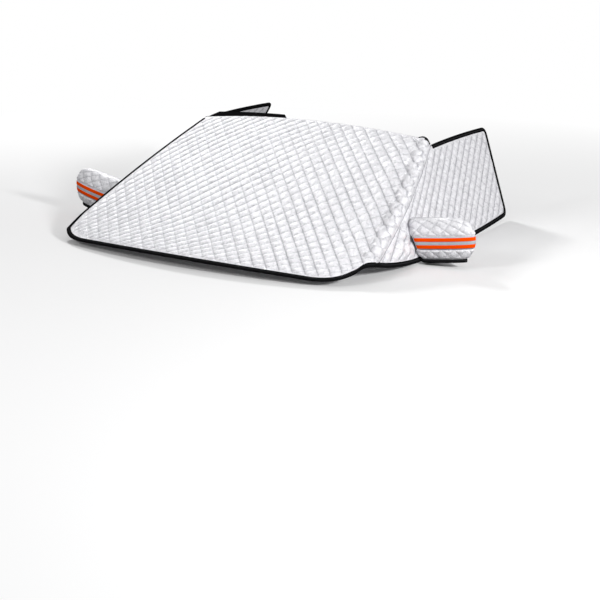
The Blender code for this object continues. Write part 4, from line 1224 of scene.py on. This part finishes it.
class COVER_OT_pockets(bpy.types.Operator):
    """Mirror pockets with their hems, reflective bands and orange stripes"""

    bl_idname = "cover.pockets"
    bl_label = "Mirror pockets"

    def execute(self, context):
        made = finishes()
        for side, label in SIDES:
            wing = Wing(side)
            self.bag(context, wing, label, made)
            self.tapes(wing, label, made)
            self.shadow_cord(wing, label, made)
        return {"FINISHED"}

    def bag(self, context, wing, label, made):
        """Cloth of one pocket: its face, and tiles between diagonals of its plan's length and its height."""
        sizes = context.scene.cover_sizes
        columns, rows = POCKET_GRID
        angles, length = pocket_angles(columns)
        levels = pocket_levels(rows)
        points, normals = pocket_grid(wing, levels, angles)
        normals[-1] = (0.0, 0.0, 1.0)
        half = columns // 2
        along = np.linspace(-length / 2.0, length / 2.0, columns)[None, :]
        rises = np.diff(points[:, half], axis=0, prepend=points[:1, half])
        climb = np.cumsum(np.linalg.norm(rises, axis=1))
        climb = climb[:, None] - climb[np.abs(levels).argmin()]
        u = (along + climb) / POCKET_TILE
        v = (along - climb) / POCKET_TILE
        from_neck = np.minimum(np.arange(columns), np.arange(columns)[::-1])
        off_band = ramp(np.abs(levels), BAND_WIDTH / 2.0, BAND_FADE)
        off_rim = ramp(levels + POCKET_DROP, sizes.hem, RIM_FADE)
        off_ridge = ramp(POCKET_TOP - levels, 0.0, RIDGE_FADE)
        fade = (off_band * off_rim * off_ridge)[:, None] * smooth(from_neck / NECK_FADE)
        puff = sizes.puff * POCKET_PUFF * tile_rise(u, POCKET_CREASE) * tile_rise(v, POCKET_CREASE) * fade
        outer = points + normals * puff[..., None]
        inner = points - normals * POCKET_CLOTH
        cells = grid_cells(rows, columns)[:, [0, 3, 2, 1]]
        twin = np.arange(rows * columns).reshape(rows, columns)
        twin[-1, half + 1:] = twin[-1, :half][::-1]
        cells = twin.ravel()[cells]
        if wing.side == RIGHT:
            cells = cells[:, ::-1]
        maps = {
            "stitch": np.stack((u, v), axis=-1).reshape(-1, 2),
            "cloth": np.stack(np.broadcast_arrays(along, climb), axis=-1).reshape(-1, 2),
            # The flat map holds the fade twice, so the cloth's painted seam shade darkens the pocket where
            # its quilting fades out: at its band, rim, ridge and neck
            "flat": np.stack((fade, fade), axis=-1).reshape(-1, 2),
            "weight": np.full((rows * columns, 2), POCKET_CREASE),
        }
        piece = closed_cloth("mirror_pocket_" + label, outer.reshape(-1, 3), inner.reshape(-1, 3), cells,
                             made["silver_quilted_cloth"], maps)
        settle(piece, "silver_cloth", "mirror_cover_" + label)
        hem = self.hem(wing, label, made)

    def hem(self, wing, label, made):
        """Black hem below the rim: a thin wall that follows it, with a rounded lower edge."""
        angles = pocket_angles(TAPE_STATIONS)[0][HEM_TRIM:-HEM_TRIM]
        level = np.full_like(angles, -POCKET_DROP)
        outside = pocket_surface(wing, level, angles)
        above = pocket_surface(wing, level + RIM_STEP, angles)
        out = unit(np.cross(np.gradient(outside, axis=0), above - outside) * wing.side)
        down = np.array((0.0, 0.0, -1.0))
        within = -POCKET_CLOTH - HEM_WALL
        profile = (
            (HEM_WALL, HEM_GAP), (HEM_WALL * 1.3, HEM_HEIGHT * 0.5), (HEM_WALL, HEM_HEIGHT * 0.9),
            (-POCKET_CLOTH / 2.0, HEM_HEIGHT), (within, HEM_HEIGHT * 0.9), (within, HEM_GAP),
        )
        sections = np.stack([outside + out * away + down * drop for away, drop in profile], axis=1)
        piece = swept("mirror_pocket_hem_" + label, sections, made["black_woven_tape"])
        settle(piece, "black_tape", "mirror_hem_" + label)
        return piece

    def shadow_cord(self, wing, label, made):
        """Thin black cord down the front of the neck that partly stands for its shadow: a circle carried
        along the pocket's surface.
        """
        angles, _ = pocket_angles(TAPE_STATIONS)
        levels = np.linspace(*SHADOW_CORD_REACH, SHADOW_CORD_STATIONS)
        points, normals = pocket_grid(wing, levels, angles[:2 * HEM_TRIM + 1])
        middle = points[:, HEM_TRIM]
        out = normals[:, HEM_TRIM]
        across = unit(np.cross(np.gradient(middle, axis=0), out))
        turn = np.linspace(0.0, 2.0 * math.pi, SHADOW_CORD_SIDES, endpoint=False)[None, :, None]
        ring = out[:, None] * (1.0 + np.cos(turn)) + across[:, None] * np.sin(turn)
        sections = middle[:, None] + ring * SHADOW_CORD_RADIUS
        piece = swept("neck_shadow_cord_" + label, sections, made["black_woven_tape"])
        settle(piece, "black_tape")

    def tapes(self, wing, label, made):
        """Band and stripes: thin tapes that follow the pocket's face between two levels."""
        low = STRIPE_GAP / 2.0
        high = low + STRIPE_WIDTH
        over = TAPE_GAP * 2.0 + TAPE_THICKNESS
        half_band = BAND_WIDTH / 2.0 - BAND_SHORT
        kinds = (
            ("reflective_band_", "reflective_band_", -half_band, half_band, TAPE_GAP, "reflective_band",
             "reflective_silver"),
            ("stripe_upper_", "orange_stripe_upper_", low, high, over, "orange_stripe", "orange_tape"),
            ("stripe_lower_", "orange_stripe_lower_", -high, -low, over, "orange_stripe", "orange_tape"),
        )
        angles, _ = pocket_angles(TAPE_STATIONS)
        for name, node, low, high, height, finish, slot in kinds:
            points, normals = pocket_grid(wing, np.linspace(low, high, TAPE_ROWS), angles)
            top = (points + normals * (height + TAPE_THICKNESS))[:, TAPE_TRIM:-TAPE_TRIM]
            under = (points + normals * height)[:, TAPE_TRIM:-TAPE_TRIM]
            sections = np.concatenate((top, under[::-1]), axis=0).transpose(1, 0, 2)
            piece = swept(name + label, sections, made[finish])
            settle(piece, slot, node + label)


def placed(thing, columns):
    """Places a camera or a lamp by its three axes and its place, the columns of its matrix."""
    bpy.context.scene.collection.objects.link(thing)
    thing.matrix_world = Matrix([*np.stack(columns, axis=-1).tolist(), [0.0, 0.0, 0.0, 1.0]])


class COVER_OT_stage(bpy.types.Operator):
    """Pale floor, soft studio light and the camera"""

    bl_idname = "cover.stage"
    bl_label = "Stage"

    def execute(self, context):
        self.camera(context)
        self.floor()
        self.world(context)
        self.lamps()
        context.scene.view_settings.view_transform = "Standard"
        return {"FINISHED"}

    def camera(self, context):
        """Camera frame: forward from yaw and pitch, then a small roll about it."""
        yaw, pitch, roll = (math.radians(value) for value in (CAMERA_YAW, CAMERA_PITCH, CAMERA_ROLL))
        level = np.array((math.cos(yaw), math.sin(yaw), 0.0))
        ahead = np.array((-math.sin(yaw), math.cos(yaw), 0.0))
        forward = ahead * math.cos(pitch) - np.array((0.0, 0.0, math.sin(pitch)))
        above = np.cross(level, forward)
        right = level * math.cos(roll) + above * math.sin(roll)
        up = above * math.cos(roll) - level * math.sin(roll)
        data = bpy.data.cameras.new("camera")
        data.sensor_width = SENSOR_WIDTH
        data.sensor_fit = "HORIZONTAL"
        data.lens = CAMERA_LENS
        camera = bpy.data.objects.new("camera", data)
        placed(camera, (right, up, -forward, CAMERA_PLACE))
        context.scene.camera = camera

    def floor(self):
        """Large pale plane just under the lowest hem, seen to pass into plain white far away."""
        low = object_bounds()[0][2] - FLOOR_DROP
        corners = ((-1, -1), (1, -1), (1, 1), (-1, 1))
        points = np.array([(x * FLOOR_SPAN, y * FLOOR_SPAN, low) for x, y in corners])
        tree = Tree("pale_floor")
        place = tree.object_place()
        length = tree.node("ShaderNodeVectorMath", {"operation": "LENGTH"}, [place], "Value")
        away = ((length - FLOOR_NEAR) / FLOOR_FADE).held()
        seen = tree.node("ShaderNodeLightPath", output="Is Camera Ray")
        cloud = tree.noise(place, 0.8, 2.0)
        pale = tree.mix((cloud * 0.2).held(), (0.97, 0.97, 0.972, 1.0), (0.95, 0.95, 0.952, 1.0))
        pale = tree.mix(seen, (0.28, 0.28, 0.285, 1.0), pale)
        finish = tree.finish(pale, 0.9, None, 0.0, {"Specular IOR Level": 0.0})
        glow = {"Color": (1.0, 1.0, 1.0, 1.0), "Strength": 1.0}
        white = tree.node("ShaderNodeEmission", {}, glow, "Emission")
        pale_shader = Socket(tree, tree.shader.outputs["BSDF"])
        both = tree.node("ShaderNodeMixShader", {}, [away * seen, pale_shader, white], "Shader")
        tree.links.new(both.value, tree.nodes["Material Output"].inputs["Surface"])
        plane = new_piece("floor", points, [(0, 1, 2, 3)], finish)
        plane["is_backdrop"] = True

    def world(self, context):
        """White world: at full strength where it is seen or reflected, and dimmer as light."""
        world = bpy.data.worlds.new("studio")
        context.scene.world = world
        world.use_nodes = True
        nodes = world.node_tree.nodes
        links = world.node_tree.links
        path = nodes.new("ShaderNodeLightPath")
        seen = path.outputs["Is Camera Ray"]
        for kind in ("Is Glossy Ray", "Is Transmission Ray"):
            either = nodes.new("ShaderNodeMath")
            either.operation = "MAXIMUM"
            links.new(seen, either.inputs[0])
            links.new(path.outputs[kind], either.inputs[1])
            seen = either.outputs[0]
        level = nodes.new("ShaderNodeMapRange")
        level.inputs["To Min"].default_value = WORLD_LIGHT
        level.inputs["To Max"].default_value = 1.0
        links.new(seen, level.inputs["Value"])
        links.new(level.outputs["Result"], nodes["Background"].inputs["Strength"])
        nodes["Background"].inputs["Color"].default_value = (1.0, 1.0, 1.0, 1.0)

    def lamps(self):
        """Round lamps, each turned to face its point."""
        for name, place, aim, size, power in LAMPS:
            data = bpy.data.lights.new(name, "AREA")
            data.shape = "DISK"
            data.size = size
            data.energy = power
            away = unit(np.array(place) - np.array(aim))
            sideways = unit(np.cross((0.0, 0.0, 1.0), away))
            placed(bpy.data.objects.new(name, data), (sideways, np.cross(away, sideways), away, place))


class COVER_PT_panel(bpy.types.Panel):
    """Lists the cover's pieces in the sidebar"""

    bl_label = "Frost cover"
    bl_idname = "COVER_PT_panel"
    bl_space_type = "VIEW_3D"
    bl_region_type = "UI"
    bl_category = "Frost cover"

    def draw(self, context):
        for name in ("puff", "hem", "tape", "wrinkle"):
            self.layout.prop(context.scene.cover_sizes, name)
        for name in ("silver", "painted_shade_and_tone", "black", "reflective", "orange"):
            self.layout.prop(context.scene.cover_colours, name)
        for each in OPERATORS:
            self.layout.operator(each.bl_idname)


OPERATORS = (
    COVER_OT_panel, COVER_OT_wings, COVER_OT_tapes, COVER_OT_strip, COVER_OT_pockets, COVER_OT_stage,
)
CLASSES = (CoverSizes, CoverColours, *OPERATORS, COVER_PT_panel)


def register():
    """Adds the classes, and the sizes and colours of a scene."""
    for each in CLASSES:
        bpy.utils.register_class(each)
    bpy.types.Scene.cover_sizes = bpy.props.PointerProperty(type=CoverSizes)
    bpy.types.Scene.cover_colours = bpy.props.PointerProperty(type=CoverColours)


def unregister():
    """Takes them away again."""
    del bpy.types.Scene.cover_colours
    del bpy.types.Scene.cover_sizes
    for each in reversed(CLASSES):
        bpy.utils.unregister_class(each)


def main():
    """Builds the cover and its studio."""
    register()
    bpy.ops.cover.panel()
    bpy.ops.cover.wings()
    bpy.ops.cover.tapes()
    bpy.ops.cover.strip()
    bpy.ops.cover.pockets()
    bpy.ops.cover.stage()
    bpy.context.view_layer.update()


if __name__ == "__main__":
    main()
